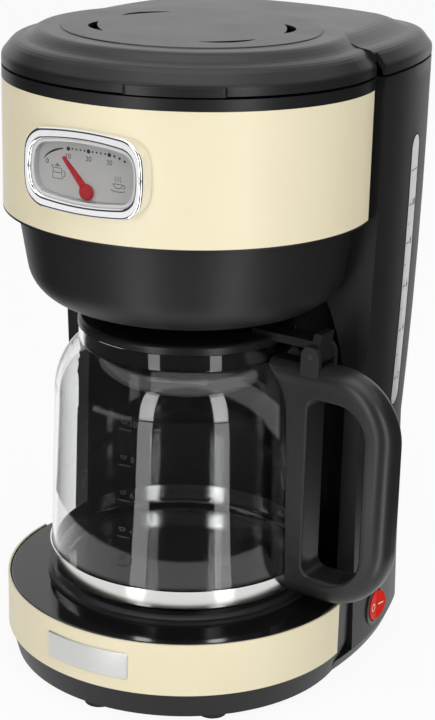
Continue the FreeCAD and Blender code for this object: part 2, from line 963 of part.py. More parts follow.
def make_tower_shell():
    shell = tower_walls().cut(window_slot(0))
    shell = shell.cut(bowl_solid(-slip, far))
    return shell.removeSplitter()


def make_level_window():
    return tower_walls().common(window_slot(slip))


def make_head_housing():
    solid = bowl_solid(0, band_high)
    lip = ring(front_radius, bowl_top_radius - shell_wall, head_seat, band_low)
    lip = lip.cut(behind(tower_front_y - slip, 0, far))
    room = bowl_solid(shell_wall, far)
    housing = solid.cut(room)
    housing = housing.fuse(lip)
    ledge_high = band_high - basket_ledge_drop
    inner = wall_radius - shell_wall
    ledge = ring(inner + 1, inner - basket_ledge_reach, ledge_high - shell_wall, ledge_high)
    housing = housing.fuse(ledge)
    housing = housing.cut(cylinder(bowl_hole_radius, 0, head_seat))
    guard = ring(guard_radius, guard_radius - guard_wall, bowl_floor - guard_drop, bowl_floor + 1)
    housing = housing.fuse(guard)
    housing = housing.cut(pod_hole(slip))
    return housing.removeSplitter()


def make_head_band():
    skin = band(front_radius, wall_radius + slip, band_low, band_high, -head_band_end, head_band_end)
    return skin.cut(pod_hole(clear))


def top_plan(inset, low, high, front_y):
    """The full plan of the machine's top: the round front and the tower behind it."""
    half_width = tower_half_width - inset
    rear = rear_block([(low, half_width), (high, half_width)], front_y)
    return cylinder(front_radius - inset, low, high).fuse(rear)


def grooves(low, high):
    """Upright grooves where the round front meets the tower."""
    front = tower_front_y - groove_width
    x = math.sqrt(front_radius ** 2 - front ** 2) - groove_depth
    right = block(x, far, front, tower_front_y, low, high)
    left = block(-far, -x, front, tower_front_y, low, high)
    return right.fuse(left)


def hinge_bar(radius, start, end):
    return Part.makeCylinder(radius, end - start, vec(start, hinge_y, hinge_z), vec(1, 0, 0))


def make_top_frame():
    frame = top_plan(0, band_high, rim_top, tower_front_y - groove_width)
    inset = front_radius - wall_radius + shell_wall
    rear_room = tower_front_y + shell_wall
    frame = frame.cut(top_plan(inset, band_high - 1, rim_top + 1, rear_room)).cut(grooves(0, far))
    for start in (-hinge_half_width - ear_thickness - clear, hinge_half_width + clear):
        end = start + ear_thickness
        ear = hinge_bar(hinge_radius, start, end)
        web = block(start, end, rear_y - 2 * hinge_radius, hinge_y, band_high, rim_top)
        web = web.cut(top_plan(inset, 0, far, rear_room))
        post = block(start, end, hinge_y - hinge_radius, hinge_y + hinge_radius, band_high, hinge_z)
        frame = frame.fuse(web).fuse(post).fuse(ear)
    frame = frame.cut(hinge_bar(hinge_pin_radius + running, -far, far))
    return frame.removeSplitter()


# Time dial, flat on the front of the head


def dial_prism(half_width, half_height, corner, start, depth):
    """Oblong with bulged sides and round corners, from a depth behind the bezel's front face."""
    y = dial_front + start
    w = half_width
    h = half_height
    b = bezel_bulge
    points = [
        (-w + b, -h + b), ((0, -h), (w - b, -h + b)), ((w, 0), (w - b, h - b)),
        ((0, h), (-w + b, h - b)), ((-w, 0), (-w + b, -h + b)),
    ]
    face = Part.Face(outline(points, lambda x, z: vec(x, y, dial_z + z)))
    solid = face.extrude(vec(0, depth, 0))
    uprights = edges_where(solid, lambda box: box.YLength > depth / 2 and box.XLength < 0.01)
    return solid.makeFillet(corner, uprights)


def opening_half_width():
    return bezel_half_width - bezel_rim_side


def opening_half_height():
    return bezel_half_height - bezel_rim_top


def pod_half_width():
    return opening_half_width() - slip


def pod_half_height():
    return opening_half_height() - slip


def pod_corner():
    return bezel_corner - bezel_rim_side


def pod_hole(gap):
    return dial_prism(pod_half_width() + gap, pod_half_height() + gap, pod_corner(), 0, 2 * pod_depth)


def make_gauge_bezel():
    outer = dial_prism(bezel_half_width, bezel_half_height, bezel_corner, 0, 3 * bezel_corner)
    inner = dial_prism(opening_half_width(), opening_half_height(), pod_corner(), -1, 4 * bezel_corner)
    bezel = outer.cut(inner)
    front = edges_where(bezel, lambda box: box.YMax < dial_front + 0.01)
    bezel = bezel.makeFillet(bezel_round, front)
    return bezel.cut(cylinder(front_radius + slip, 0, far))


def make_gauge_pod():
    start = lens_sink - pod_lip
    pod = dial_prism(pod_half_width(), pod_half_height(), pod_corner(), start, pod_depth)
    wide = pod_half_width() - pod_wall
    high = pod_half_height() - pod_wall
    room = dial_prism(wide, high, pod_corner() - pod_wall, 0, start + pod_depth - pod_wall)
    return pod.cut(room).removeSplitter()


def dial_plate(start, thickness):
    inset = pod_wall + slip
    corner = pod_corner() - inset
    return dial_prism(pod_half_width() - inset, pod_half_height() - inset, corner, start, thickness)


def dial_axis_rod(radius, start, end):
    """Round bar on the pointer's axis, between two depths behind the bezel's front face."""
    return rod(radius, vec(0, dial_front + start, hub_z), vec(0, dial_front + end, hub_z))


def make_gauge_dial():
    hole = dial_axis_rod(needle_shaft_radius + running, 0, far / 4)
    return dial_plate(dial_sink, dial_thickness).cut(hole)


def make_gauge_lens():
    return dial_plate(lens_sink, lens_thickness)


def make_gauge_movement():
    start = dial_sink + dial_thickness
    body = dial_axis_rod(movement_radius, start, start + movement_depth)
    body = body.common(dial_plate(start, movement_depth))
    return body.cut(dial_axis_rod(needle_shaft_radius + running, 0, start + needle_shaft_depth + 1))


def needle_front():
    return dial_sink - clear - needle_thickness


def make_gauge_needle():
    """Tapered pointer with its shaft, turned to its rest angle."""
    y = dial_front + needle_front()
    root = needle_root_width / 2
    tip = needle_tip_width / 2
    shoulder = needle_length - tip
    points = [(-root, 0), (-tip, shoulder), ((0, needle_length), (tip, shoulder)), (root, 0)]
    blade = Part.Face(outline(points, lambda x, z: vec(x, y, hub_z + z))).extrude(vec(0, needle_thickness, 0))
    blade = blade.fuse(dial_axis_rod(root, needle_front(), needle_front() + needle_thickness))
    shaft_end = dial_sink + dial_thickness + needle_shaft_depth
    blade = blade.fuse(dial_axis_rod(needle_shaft_radius, needle_front(), shaft_end))
    needle = blade.removeSplitter()
    needle.rotate(vec(0, 0, hub_z), vec(0, 1, 0), -needle_angle)
    return needle


def make_gauge_hub():
    back = needle_front()
    hub = dial_axis_rod(hub_radius, back - hub_height, back)
    front = edges_where(hub, lambda box: box.YMax < dial_front + back - hub_height + 0.01)
    return hub.makeFillet(hub_height * 0.9, front)


# Filter basket and drip stop


def basket_rim():
    return band_high - basket_ledge_drop


def basket_floor():
    return bowl_floor + basket_floor_rise


def make_filter_basket():
    rim = basket_rim()
    floor = basket_floor()
    high = rim + basket_wall
    inner_top = basket_top_radius - basket_wall
    inner_floor = basket_floor_radius - basket_wall
    points = [
        (stem_hole_radius, floor), (nozzle_bore, floor), (nozzle_bore, floor - nozzle_drop),
        (nozzle_radius, floor - nozzle_drop), (nozzle_radius, floor), (basket_floor_radius, floor),
        (basket_top_radius, rim), (basket_flange_radius, rim), (basket_flange_radius, high),
        (inner_top, high),
        (inner_floor, floor + basket_wall), (stem_hole_radius, floor + basket_wall),
    ]
    return turned(points)


def stem_pad_low():
    return bowl_floor - stem_pad_drop


def make_drip_valve():
    floor = basket_floor() + basket_wall
    seat = floor + drip_seal_height
    pad = stem_pad_low()
    pad_top = pad + stem_pad_height
    points = [
        (0, pad), (stem_pad_radius, pad), (stem_pad_radius, pad_top), (stem_radius, pad_top),
        (stem_radius, seat), (valve_disc_radius, seat), (valve_disc_radius, seat + valve_disc_height),
        (0, seat + valve_disc_height),
    ]
    return turned(points)


def make_drip_seal():
    floor = basket_floor() + basket_wall
    return ring(valve_disc_radius, stem_radius + slip, floor, floor + drip_seal_height)


def make_drip_spring():
    """Coil between the pad of the drip stop and the basket, wound in half turns."""
    low = stem_pad_low() + stem_pad_height + spring_wire
    high = basket_floor() - spring_wire
    pitch = (high - low) / spring_turns
    helix = Part.makeHelix(pitch, high - low, spring_radius)
    helix.translate(vec(0, 0, low))
    start = vec(spring_radius, 0, low)
    along = vec(0, 2 * math.pi * spring_radius, pitch)
    circle = Part.Wire(Part.makeCircle(spring_wire, start, along))
    return Part.Wire(helix.Edges).makePipeShell([circle], True, True)


# Lid


def softened(before, corner, after, reach):
    """Points that round off a corner, from a reach before it to a reach after it."""
    start = [c + (b - c) * reach / math.dist(before, corner) for b, c in zip(before, corner)]
    end = [c + (a - c) * reach / math.dist(after, corner) for a, c in zip(after, corner)]
    points = []
    for step in range(lid_round_steps + 1):
        t = step / lid_round_steps
        points.append(tuple((1 - t) ** 2 * a + 2 * t * (1 - t) * c + t ** 2 * b
                            for a, c, b in zip(start, corner, end)))
    return points


def lid_profile(cove_inset):
    """(height, inset) steps of the lid: skirt, bevel, shelf and the cove up to the plateau."""
    foot = (lid_low, 0.0)
    skirt = (lid_low + lid_skirt, 0.0)
    shelf = skirt[0] + lid_bevel_rise
    crest = (shelf, lid_bevel_inset)
    steps = [foot] + softened(foot, skirt, crest, lid_skirt_round)
    steps += softened(skirt, crest, (shelf + lid_shelf_rise, lid_shelf_inset), lid_crest_round)
    for step in range(lid_steps + 1):
        share = step / lid_steps
        swell = (1 - math.cos(math.pi * share)) / 2
        inset = lid_shelf_inset + share * (cove_inset - lid_shelf_inset)
        steps.append((shelf + lid_shelf_rise + swell * lid_cove_rise, inset))
    return steps


def lid_top():
    return lid_profile(lid_cove_inset)[-1][0]


def lid_solid(inset, drop):
    """The lid's outer form, or with an inset and a drop the room inside it."""
    front_steps = [(z - drop, front_radius - i - inset) for z, i in lid_profile(lid_cove_inset)]
    rear_steps = [(z - drop, tower_half_width - i - inset) for z, i in lid_profile(lid_rear_cove_inset)]
    points = [(0, front_steps[0][0])] + [(r, z) for z, r in front_steps] + [(0, front_steps[-1][0])]
    front_y = tower_front_y - groove_width
    return turned(points).fuse(rear_block(rear_steps, front_y)).removeSplitter()


def vent_slots(low, high, grow):
    """Four crescent slots round the vent disc."""
    slots = []
    for azimuth in (-vent_front_azimuth, vent_front_azimuth, vent_rear_azimuth, -vent_rear_azimuth):
        outer = cylinder(vent_outer_radius + grow, low, high, vent_outer_centre)
        inner = cylinder(vent_inner_radius - grow, low, high, vent_inner_centre)
        slots.append(to_azimuth(outer.cut(inner), azimuth))
    return slots


def make_lid_shell():
    top = lid_top()
    shell = lid_solid(0, 0).cut(lid_solid(lid_wall, lid_wall))
    shell = shell.cut(block(-far, far, -far, far, 0, lid_low))
    lip = front_radius - lid_bevel_inset
    groove_high = lid_low + lid_skirt + lid_bevel_rise
    shell = shell.cut(grooves(0, groove_high).cut(cylinder(lip, 0, far)))
    shell = shell.cut(cylinder(disc_radius + slip, top - disc_sink, far))
    for slot in vent_slots(top - 2 * lid_wall, top + lid_wall, vent_room):
        shell = shell.cut(slot)
    half = hinge_half_width
    knuckle = hinge_bar(hinge_radius, -half, half)
    web = block(-half, half, rear_y - lid_wall * 3, hinge_y, lid_low, lid_low + lid_skirt)
    shell = shell.fuse(knuckle).fuse(web.cut(lid_solid(lid_wall, lid_wall)))
    shell = shell.cut(hinge_bar(hinge_pin_radius + running, -far, far))
    return shell.removeSplitter()


def make_lid_tab():
    """Finger lip under the lid's edge, right of the dial."""
    low = lid_low + slip
    start = tab_azimuth - tab_half_angle
    end = tab_azimuth + tab_half_angle
    tab = band(front_radius + tab_reach, front_radius + running, low, low + tab_height, start, end)
    ends = edges_where(tab, lambda box: box.ZLength > tab_height / 2)
    outer = [edge for edge in ends if math.hypot(edge.CenterOfMass.x, edge.CenterOfMass.y) > front_radius + 1]
    return tab.makeFillet(tab_reach * 0.8, outer)


def make_lid_vent_disc():
    low = lid_top() - disc_sink
    high = lid_top() + disc_proud
    disc = cylinder(disc_radius, low, high)
    rim = edges_where(disc, lambda box: box.ZMin > high - 0.01 and box.XLength > disc_radius)
    disc = disc.makeFillet(disc_proud, rim)
    for slot in vent_slots(low - lid_wall, lid_top() + lid_wall, 0.0):
        disc = disc.cut(slot)
    return disc


def make_lid_liner():
    """Inner cover that turns the steam back into the basket."""
    high = lid_top() - lid_wall
    low = high - liner_drop
    rim = ring(liner_radius, liner_radius - liner_wall, low, high)
    return rim.fuse(cylinder(liner_radius, low, low + liner_wall)).removeSplitter()


def make_lid_hinge_pin():
    reach = hinge_half_width + ear_thickness + clear
    return hinge_bar(hinge_pin_radius, -reach, reach)


# Jug


def jug_section(inset):
    """Glass section from the base's flat to the rim, moved inwards by the wall."""
    base = (jug_base_radius - inset, jug_low + inset)
    belly = (jug_glass_radius - inset, jug_belly_z)
    shoulder = (jug_shoulder_radius - inset, jug_shoulder_z)
    neck = (jug_neck_radius - inset, jug_neck_z)
    return [base, (upright_arc(base, belly), belly), shoulder, (upright_arc(neck, shoulder), neck)]


def spout_bar(radius):
    """Sloping round bar that forms the pouring lip, opposite the handle."""
    lean = math.radians(spout_lean)
    along = vec(math.cos(lean), 0, math.sin(lean))
    middle = vec(spout_centre, 0, jug_rim_z)
    reach = 2 * spout_radius
    return to_azimuth(rod(radius, middle - along * reach, middle + along * reach), handle_azimuth - 180.0)


def make_jug_glass():
    outer = [(0, jug_low)] + jug_section(0) + [(jug_neck_radius, jug_rim_z), (0, jug_rim_z)]
    inner = [(0, jug_low + jug_wall)] + jug_section(jug_wall)
    inner += [(jug_neck_radius - jug_wall, jug_rim_z + 1), (0, jug_rim_z + 1)]
    below_lip = cylinder(far / 4, jug_shoulder_z, jug_rim_z + spout_rise)
    lid_room = cylinder(jug_lid_radius + clear, jug_rim_z, far)
    lip = spout_bar(spout_radius).common(below_lip).cut(lid_room)
    glass = turned(outer).fuse(lip)
    return glass.cut(spout_bar(spout_radius - jug_wall)).cut(turned(inner)).removeSplitter()


def strap_radius():
    return jug_glass_radius + slip


def make_jug_strap():
    inner = strap_radius()
    return ring(inner + jug_strap_thickness, inner, strap_low_z, strap_high_z)


def loop_outline(side_inset, end_inset):
    """Side view of the handle's outside: flat at the jug, round at the two outer corners."""
    bend = handle_corner - side_inset
    reach = handle_reach - side_inset
    high = handle_top_z - end_inset
    low = handle_low_z + end_inset
    turn = bend * (1 - math.sqrt(0.5))
    return [
        (jug_neck_radius, high), (reach - bend, high), ((reach - turn, high - turn), (reach, high - bend)),
        (reach, low + bend), ((reach - turn, low + turn), (reach - bend, low)), (jug_neck_radius, low),
    ]


def handle_plate(points, half_width):
    """Upright plate in the handle's plane, built along +X."""
    face = Part.Face(outline(points, lambda u, z: vec(u, -half_width, z)))
    return face.extrude(vec(0, 2 * half_width, 0))


def handle_form(half_width):
    """The handle's whole outer form, with its long edges rounded for the hand."""
    form = handle_plate(loop_outline(0, 0), half_width)
    rounded = edges_where(form, lambda box: box.YLength < 0.01 and box.XMax > jug_neck_radius + 1)
    return form.makeFillet(cover_round, rounded)


def handle_opening():
    """Finger opening, with its larger round corners at the grip."""
    bend = open_corner
    turn = bend * (1 - math.sqrt(0.5))
    near = open_jug_corner
    near_turn = near * (1 - math.sqrt(0.5))
    left = handle_bar_outer
    right = grip_inner
    high = open_high_z
    low = open_low_z
    return [
        (left, low + near), (left, high - near), ((left + near_turn, high - near_turn), (left + near, high)),
        (right - bend, high), ((right - turn, high - turn), (right, high - bend)), (right, low + bend),
        ((right - turn, low + turn), (right - bend, low)), (left + near, low),
        ((left + near_turn, low + near_turn), (left, low + near)),
    ]


def handle_seat():
    """What the handle leaves free: the strap, and the glass above it."""
    low = strap_radius() + jug_strap_thickness + slip
    gap = clear + slip
    shoulder = (jug_shoulder_radius + gap, jug_shoulder_z)
    neck = (jug_neck_radius + gap, jug_neck_z)
    return turned([
        (0, 0), (low, 0), (low, strap_high_z), shoulder, (upright_arc(neck, shoulder), neck),
        (neck[0], far), (0, far),
    ])


def lid_axis_bar(radius, start, end):
    return Part.makeCylinder(radius, end - start, vec(lid_axis_radius, start, lid_axis_z), vec(0, 1, 0))


def barrel_half():
    """Half the length of the lid's barrel, between the two ears of the handle."""
    return handle_half_width - lid_ear_thickness - clear


def handle_foot(gap):
    """The part of the handle that is screwed to the strap, which the cover leaves free."""
    return block(0, handle_foot_reach + gap, -far, far, 0, handle_foot_high)


def make_jug_handle():
    half = handle_half_width
    frame = handle_plate(loop_outline(cover_side, cover_end), half)
    frame = frame.cut(handle_plate(handle_opening(), 2 * half))
    rim = edges_where(frame, lambda box: box.YLength < 0.01 and box.XMin > handle_bar_outer - 1
                      and box.XMax < grip_inner + 1 and box.ZMin > open_low_z - 1)
    frame = frame.makeFillet(open_round, [edge for edge in rim if edge.BoundBox.ZMax < open_high_z + 1])
    frame = frame.fuse(handle_form(half).common(handle_foot(0))).cut(handle_seat())
    reach = handle_reach
    along = vec(1, 0, 0)
    frame = frame.cut(Part.makeCylinder(handle_screw_radius + slip, reach, vec(0, 0, handle_screw_z), along))
    seat = vec(handle_bar_outer, 0, handle_screw_z)
    head = Part.makeCylinder(handle_screw_head + clear, reach, seat, along)
    head = head.common(handle_foot(0))
    return to_azimuth(frame.cut(head).removeSplitter(), handle_azimuth)


def make_handle_cover():
    half = handle_half_width + cover_overlap
    inside = handle_plate(loop_outline(cover_side - slip, cover_end - slip), 2 * half)
    cover = handle_form(half).cut(inside)
    cover = cover.cut(handle_seat()).cut(handle_foot(slip))
    inner = barrel_half() + clear
    room = lid_barrel_radius + clear
    low = lid_axis_z - lid_barrel_radius
    for start in (-handle_half_width, inner):
        end = start + lid_ear_thickness
        ear = lid_axis_bar(lid_barrel_radius, start, end)
        post = block(lid_axis_radius - lid_barrel_radius, lid_axis_radius + lid_barrel_radius, start, end,
                     handle_top_z - cover_end * 0.75, lid_axis_z)
        cover = cover.fuse(ear).fuse(post)
    gap = block(0, lid_axis_radius + room, -inner, inner, low - clear, far)
    cover = cover.cut(gap).cut(lid_axis_bar(lid_pin_radius + running, -far, far))
    return to_azimuth(cover.removeSplitter(), handle_azimuth)


def make_handle_screw():
    tip = strap_radius() + jug_strap_thickness + slip
    along = vec(1, 0, 0)
    shaft = Part.makeCylinder(handle_screw_radius, handle_bar_outer - tip, vec(tip, 0, handle_screw_z), along)
    head = Part.makeCylinder(handle_screw_head, 2, vec(handle_bar_outer, 0, handle_screw_z), along)
    return to_azimuth(shaft.fuse(head).removeSplitter(), handle_azimuth)


def make_jug_lid_skirt():
    """Black ring inside the neck, under the lid."""
    high = jug_rim_z + jug_lid_gap
    return ring(skirt_ring_radius, skirt_ring_radius - skirt_ring_wall, skirt_ring_low, high)


def make_jug_lid():
    low = jug_rim_z + jug_lid_gap
    disc = cylinder(jug_lid_radius, low, jug_lid_top_z)
    rim = edges_where(disc, lambda box: box.ZMin > jug_lid_top_z - 0.01 and box.XLength > jug_lid_radius)
    disc = disc.makeFillet((jug_lid_top_z - low) * 0.5, rim)
    half = barrel_half()
    arm = block(jug_lid_arm_start, lid_axis_radius, -half, half, jug_lid_top_z - 2, jug_lid_arm_top)
    barrel = lid_axis_bar(lid_barrel_radius, -half, half)
    top = lid_axis_radius + lever_lean
    lever = handle_plate([
        (lid_axis_radius - lever_half, lid_axis_z), (lid_axis_radius + lever_half, lid_axis_z),
        (top + lever_half, lever_top_z), (top - lever_half / 2, lever_top_z),
    ], half)
    arm = arm.fuse(barrel).fuse(lever).cut(lid_axis_bar(lid_pin_radius + running, -far, far))
    return disc.fuse(to_azimuth(arm, handle_azimuth)).removeSplitter()


def make_jug_lid_pin():
    half = handle_half_width
    return to_azimuth(lid_axis_bar(lid_pin_radius, -half, half), handle_azimuth)


PIECES = {
    "feet": make_feet,
    "base_pan": make_base_pan,
    "pan_screws": make_pan_screws,
    "lower_housing": make_lower_housing,
    "base_deck": make_base_deck,
    "base_band": make_base_band,
    "badge_plate": make_badge_plate,
    "plate_gasket": make_plate_gasket,
    "warming_plate": make_warming_plate,
    "heater_casting": make_heater_casting,
    "heater_strap": make_heater_strap,
    "thermostat": make_thermostat,
    "thermal_fuse": make_thermal_fuse,
    "switch_bezel": make_switch_bezel,
    "switch_body": make_switch_body,
    "switch_rocker": make_switch_rocker,
    "cord_gland": make_cord_gland,
    "water_tank": make_water_tank,
    "tank_seal": make_tank_seal,
    "check_valve": make_check_valve,
    "cold_hose": make_cold_hose,
    "riser_tube": make_riser_tube,
    "shower_arm": make_shower_arm,
    "tower_shell": make_tower_shell,
    "level_window": make_level_window,
    "head_housing": make_head_housing,
    "head_band": make_head_band,
    "top_frame": make_top_frame,
    "gauge_bezel": make_gauge_bezel,
    "gauge_pod": make_gauge_pod,
    "gauge_dial": make_gauge_dial,
    "gauge_lens": make_gauge_lens,
    "gauge_movement": make_gauge_movement,
    "gauge_needle": make_gauge_needle,
    "gauge_hub": make_gauge_hub,
    "filter_basket": make_filter_basket,
    "drip_valve": make_drip_valve,
    "drip_seal": make_drip_seal,
    "drip_spring": make_drip_spring,
    "lid_shell": make_lid_shell,
    "lid_tab": make_lid_tab,
    "lid_vent_disc": make_lid_vent_disc,
    "lid_liner": make_lid_liner,
    "lid_hinge_pin": make_lid_hinge_pin,
    "jug_glass": make_jug_glass,
    "jug_strap": make_jug_strap,
    "jug_handle": make_jug_handle,
    "handle_cover": make_handle_cover,
    "handle_screw": make_handle_screw,
    "jug_lid": make_jug_lid,
    "jug_lid_skirt": make_jug_lid_skirt,
    "jug_lid_pin": make_jug_lid_pin,
}

shapes = {name: make() for name, make in PIECES.items()}

# The origin is on the table, under the middle of the machine's outer box.
extent = Part.makeCompound(list(shapes.values())).optimalBoundingBox(False, False)
origin_shift = vec(-(extent.XMin + extent.XMax) / 2, -(extent.YMin + extent.YMax) / 2, 0)
print("outer box", round(extent.XLength, 2), round(extent.YLength, 2), round(extent.ZLength, 2))
print("brew axis at", round(origin_shift.x, 3), round(origin_shift.y, 3))

os.makedirs("parts", exist_ok=True)
for name, shape in shapes.items():
    shape.translate(origin_shift)
    shape.exportStep(os.path.join("parts", name + ".step"))
    print(name, "solids", len(shape.Solids), "valid", shape.isValid(), "volume", round(shape.Volume, 1))
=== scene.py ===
import bmesh
import bpy
import json
import math
from mathutils import Matrix, Vector


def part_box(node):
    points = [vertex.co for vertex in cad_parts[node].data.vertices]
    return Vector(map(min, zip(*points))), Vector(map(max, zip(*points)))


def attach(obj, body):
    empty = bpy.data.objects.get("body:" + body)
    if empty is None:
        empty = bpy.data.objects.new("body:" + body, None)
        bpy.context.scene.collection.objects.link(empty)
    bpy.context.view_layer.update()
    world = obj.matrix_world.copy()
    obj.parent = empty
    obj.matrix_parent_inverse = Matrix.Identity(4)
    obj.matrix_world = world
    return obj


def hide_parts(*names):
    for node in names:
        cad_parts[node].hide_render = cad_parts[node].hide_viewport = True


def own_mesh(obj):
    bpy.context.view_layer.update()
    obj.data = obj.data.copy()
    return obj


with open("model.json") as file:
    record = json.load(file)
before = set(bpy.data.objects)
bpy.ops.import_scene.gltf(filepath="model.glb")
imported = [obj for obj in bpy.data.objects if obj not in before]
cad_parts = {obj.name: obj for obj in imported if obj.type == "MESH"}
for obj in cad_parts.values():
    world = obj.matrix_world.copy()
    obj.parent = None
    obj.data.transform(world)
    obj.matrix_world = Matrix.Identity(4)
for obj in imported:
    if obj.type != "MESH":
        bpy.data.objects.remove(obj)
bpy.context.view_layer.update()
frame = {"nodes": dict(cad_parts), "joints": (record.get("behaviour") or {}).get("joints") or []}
node = frame["nodes"]

# Tray and feet. The round-fronted tray that closes the base is moulded from black ABS with a fine
# spark-eroded grain. Five soft rubber pads with studs are pushed into it from below, and steel screws
# draw the tray up against the housing.
noise_middle = 0.5
cloud_scale = 34.0
skin_outputs = (("Color", "Color"), ("Roughness", "Float"), ("Height", "Float"))


def finish_group(name, inputs, outputs):
    """An empty shader node group for a finish. Its sockets are given as pairs of name and kind."""
    group = bpy.data.node_groups.new(name, "ShaderNodeTree")
    for way, sockets in (("INPUT", inputs), ("OUTPUT", outputs)):
        for socket, kind in sockets:
            group.interface.new_socket(socket, in_out=way, socket_type="NodeSocket" + kind)
    return group


def feed(tree, socket, term):
    """Gives a socket its term: an output that is linked to it, or a number that is set on it."""
    if isinstance(term, bpy.types.NodeSocket):
        tree.links.new(term, socket)
    else:
        socket.default_value = term


def reckon(tree, operation, *terms):
    """The result of a Math node with these terms."""
    step = tree.nodes.new("ShaderNodeMath")
    step.operation = operation
    for socket, term in zip(step.inputs, terms):
        feed(tree, socket, term)
    return step.outputs[0]


def speckle(tree, place, scale, detail):
    """A noise from 0 to 1 over a place, with its scale per metre and its detail in octaves."""
    noise = tree.nodes.new("ShaderNodeTexNoise")
    for name, term in (("Vector", place), ("Scale", scale), ("Detail", detail)):
        feed(tree, noise.inputs[name], term)
    return noise.outputs["Fac"]


def build_moulded_grain():
    """Skin of a grained moulding: a cloudy tone, a roughness that wanders and a height for the grain."""
    inputs = (("Tone", "Color"), ("Cloud", "Float"), ("Gloss", "Float"), ("Gloss Spread", "Float"),
              ("Grain Scale", "Float"))
    group = finish_group("moulded_grain", inputs, skin_outputs)
    given = group.nodes.new("NodeGroupInput")
    out = group.nodes.new("NodeGroupOutput")
    where = group.nodes.new("ShaderNodeTexCoord")
    cloud = speckle(group, where.outputs["Object"], cloud_scale, 4.0)
    grain = speckle(group, where.outputs["Object"], given.outputs["Grain Scale"], 2.0)
    centred = reckon(group, "SUBTRACT", cloud, noise_middle)
    sway = reckon(group, "MULTIPLY_ADD", centred, given.outputs["Cloud"], 1.0)
    tone = group.nodes.new("ShaderNodeVectorMath")
    tone.operation = "SCALE"
    feed(group, tone.inputs[0], given.outputs["Tone"])
    feed(group, tone.inputs["Scale"], sway)
    speck = reckon(group, "SUBTRACT", grain, noise_middle)
    both = reckon(group, "ADD", speck, centred)
    rough = reckon(group, "MULTIPLY_ADD", both, given.outputs["Gloss Spread"], given.outputs["Gloss"])
    for name, result in (("Color", tone.outputs[0]), ("Roughness", rough), ("Height", grain)):
        feed(group, out.inputs[name], result)
    return group


moulded_grain = build_moulded_grain()


def shader_sockets(material):
    """The sockets of a material's shader."""
    return material.node_tree.nodes["Principled BSDF"].inputs


def skinned(name, group, values, depth):
    """A material with its colour, roughness and relief from a node group. The depth is in metres."""
    material = bpy.data.materials.new(name)
    material.use_nodes = True
    tree = material.node_tree
    sockets = shader_sockets(material)
    skin = tree.nodes.new("ShaderNodeGroup")
    skin.node_tree = group
    for socket, value in values.items():
        skin.inputs[socket].default_value = value
    tree.links.new(skin.outputs["Color"], sockets["Base Color"])
    tree.links.new(skin.outputs["Roughness"], sockets["Roughness"])
    bump = tree.nodes.new("ShaderNodeBump")
    bump.inputs["Strength"].default_value = 1.0
    bump.inputs["Distance"].default_value = depth
    tree.links.new(skin.outputs["Height"], bump.inputs["Height"])
    tree.links.new(bump.outputs["Normal"], sockets["Normal"])
    return material


def moulded(name, tone, gloss, spread=0.08, cloud=0.2, grain=2200.0, depth=0.00002, sheen=0.3):
    """A moulded finish: its tone and gloss, with the grain's scale per metre and depth in metres."""
    values = {"Tone": (*tone, 1.0), "Cloud": cloud, "Gloss": gloss, "Gloss Spread": spread,
              "Grain Scale": grain}
    material = skinned(name, moulded_grain, values, depth)
    shader_sockets(material)["Specular IOR Level"].default_value = sheen
    return material


def metal(name, tone, gloss, spread=0.1, cloud=0.1, grain=900.0, depth=0.0):
    """A metal with the same wandering gloss as the mouldings."""
    material = moulded(name, tone, gloss, spread, cloud, grain, depth)
    shader_sockets(material)["Metallic"].default_value = 1.0
    return material


def dress(material, *names):
    """Gives CAD nodes one finish."""
    for name in names:
        node[name].data.materials.clear()
        node[name].data.materials.append(material)


tray_black = moulded("tray_black", (0.012, 0.012, 0.013), 0.42)
foot_rubber = moulded("foot_rubber", (0.02, 0.02, 0.02), 0.75, cloud=0.4, grain=1400.0, depth=0.00006)
zinc_screw = metal("zinc_screw", (0.62, 0.62, 0.6), 0.34)
dress(tray_black, "base_pan")
dress(foot_rubber, "feet")
dress(zinc_screw, "pan_screws")

# Heater. A cast aluminium ring with a water passage sits under the warming plate, held up by a plated
# steel bar, with a thermostat disc against the plate and a sleeved fuse under the bar.
cast_heater = metal("cast_heater", (0.5, 0.5, 0.5), 0.55, spread=0.25, cloud=0.3, grain=1100.0,
                    depth=0.0001)
plated_bar = metal("plated_bar", (0.6, 0.6, 0.58), 0.32)
fuse_sleeve = moulded("fuse_sleeve", (0.75, 0.74, 0.7), 0.6, grain=1500.0, depth=0.00008)
dress(cast_heater, "heater_casting")
dress(plated_bar, "heater_strap", "thermostat")
dress(fuse_sleeve, "thermal_fuse")

# Lower housing. The foot of the tower is one black moulding that stands on the tray and wraps the jug
# bay. A soft rubber inlet gland is snapped into its rear wall.
housing_black = moulded("housing_black", (0.013, 0.013, 0.014), 0.4)
gland_rubber = moulded("gland_rubber", (0.02, 0.02, 0.02), 0.7, cloud=0.4, grain=1400.0, depth=0.00005)
dress(housing_black, "lower_housing")
dress(gland_rubber, "cord_gland")

# Power switch. A round snap-in switch: black bezel and body, and a red translucent rocker with a V face
# that is printed with a white circle for off and a white bar for on. The rocker's red carries a faint
# painted glow.


def ribbon(points, width, closed=False):
    """A printed line along flat points, as pairs of edge points. Its width is even, or a list of widths."""
    rows = []
    last = len(points) - 1
    for i, (x, y) in enumerate(points):
        before = points[i - 1] if i or closed else points[i]
        after = points[(i + 1) % len(points)] if i < last or closed else points[i]
        dx = after[0] - before[0]
        dy = after[1] - before[1]
        run = math.hypot(dx, dy) or 1.0
        half = (width[i] if isinstance(width, list) else width) / 2
        left = (x - dy / run * half, y + dx / run * half)
        right = (x + dy / run * half, y - dx / run * half)
        rows.append((left, right))
    return rows, closed


def arc_points(x, y, radius, start, end, steps, flat=1.0):
    """Points along an arc in degrees. With flat below 1 it is part of an ellipse."""
    points = []
    for i in range(steps + 1):
        angle = math.radians(start + (end - start) * i / steps)
        points.append((x + radius * math.cos(angle), y + flat * radius * math.sin(angle)))
    return points


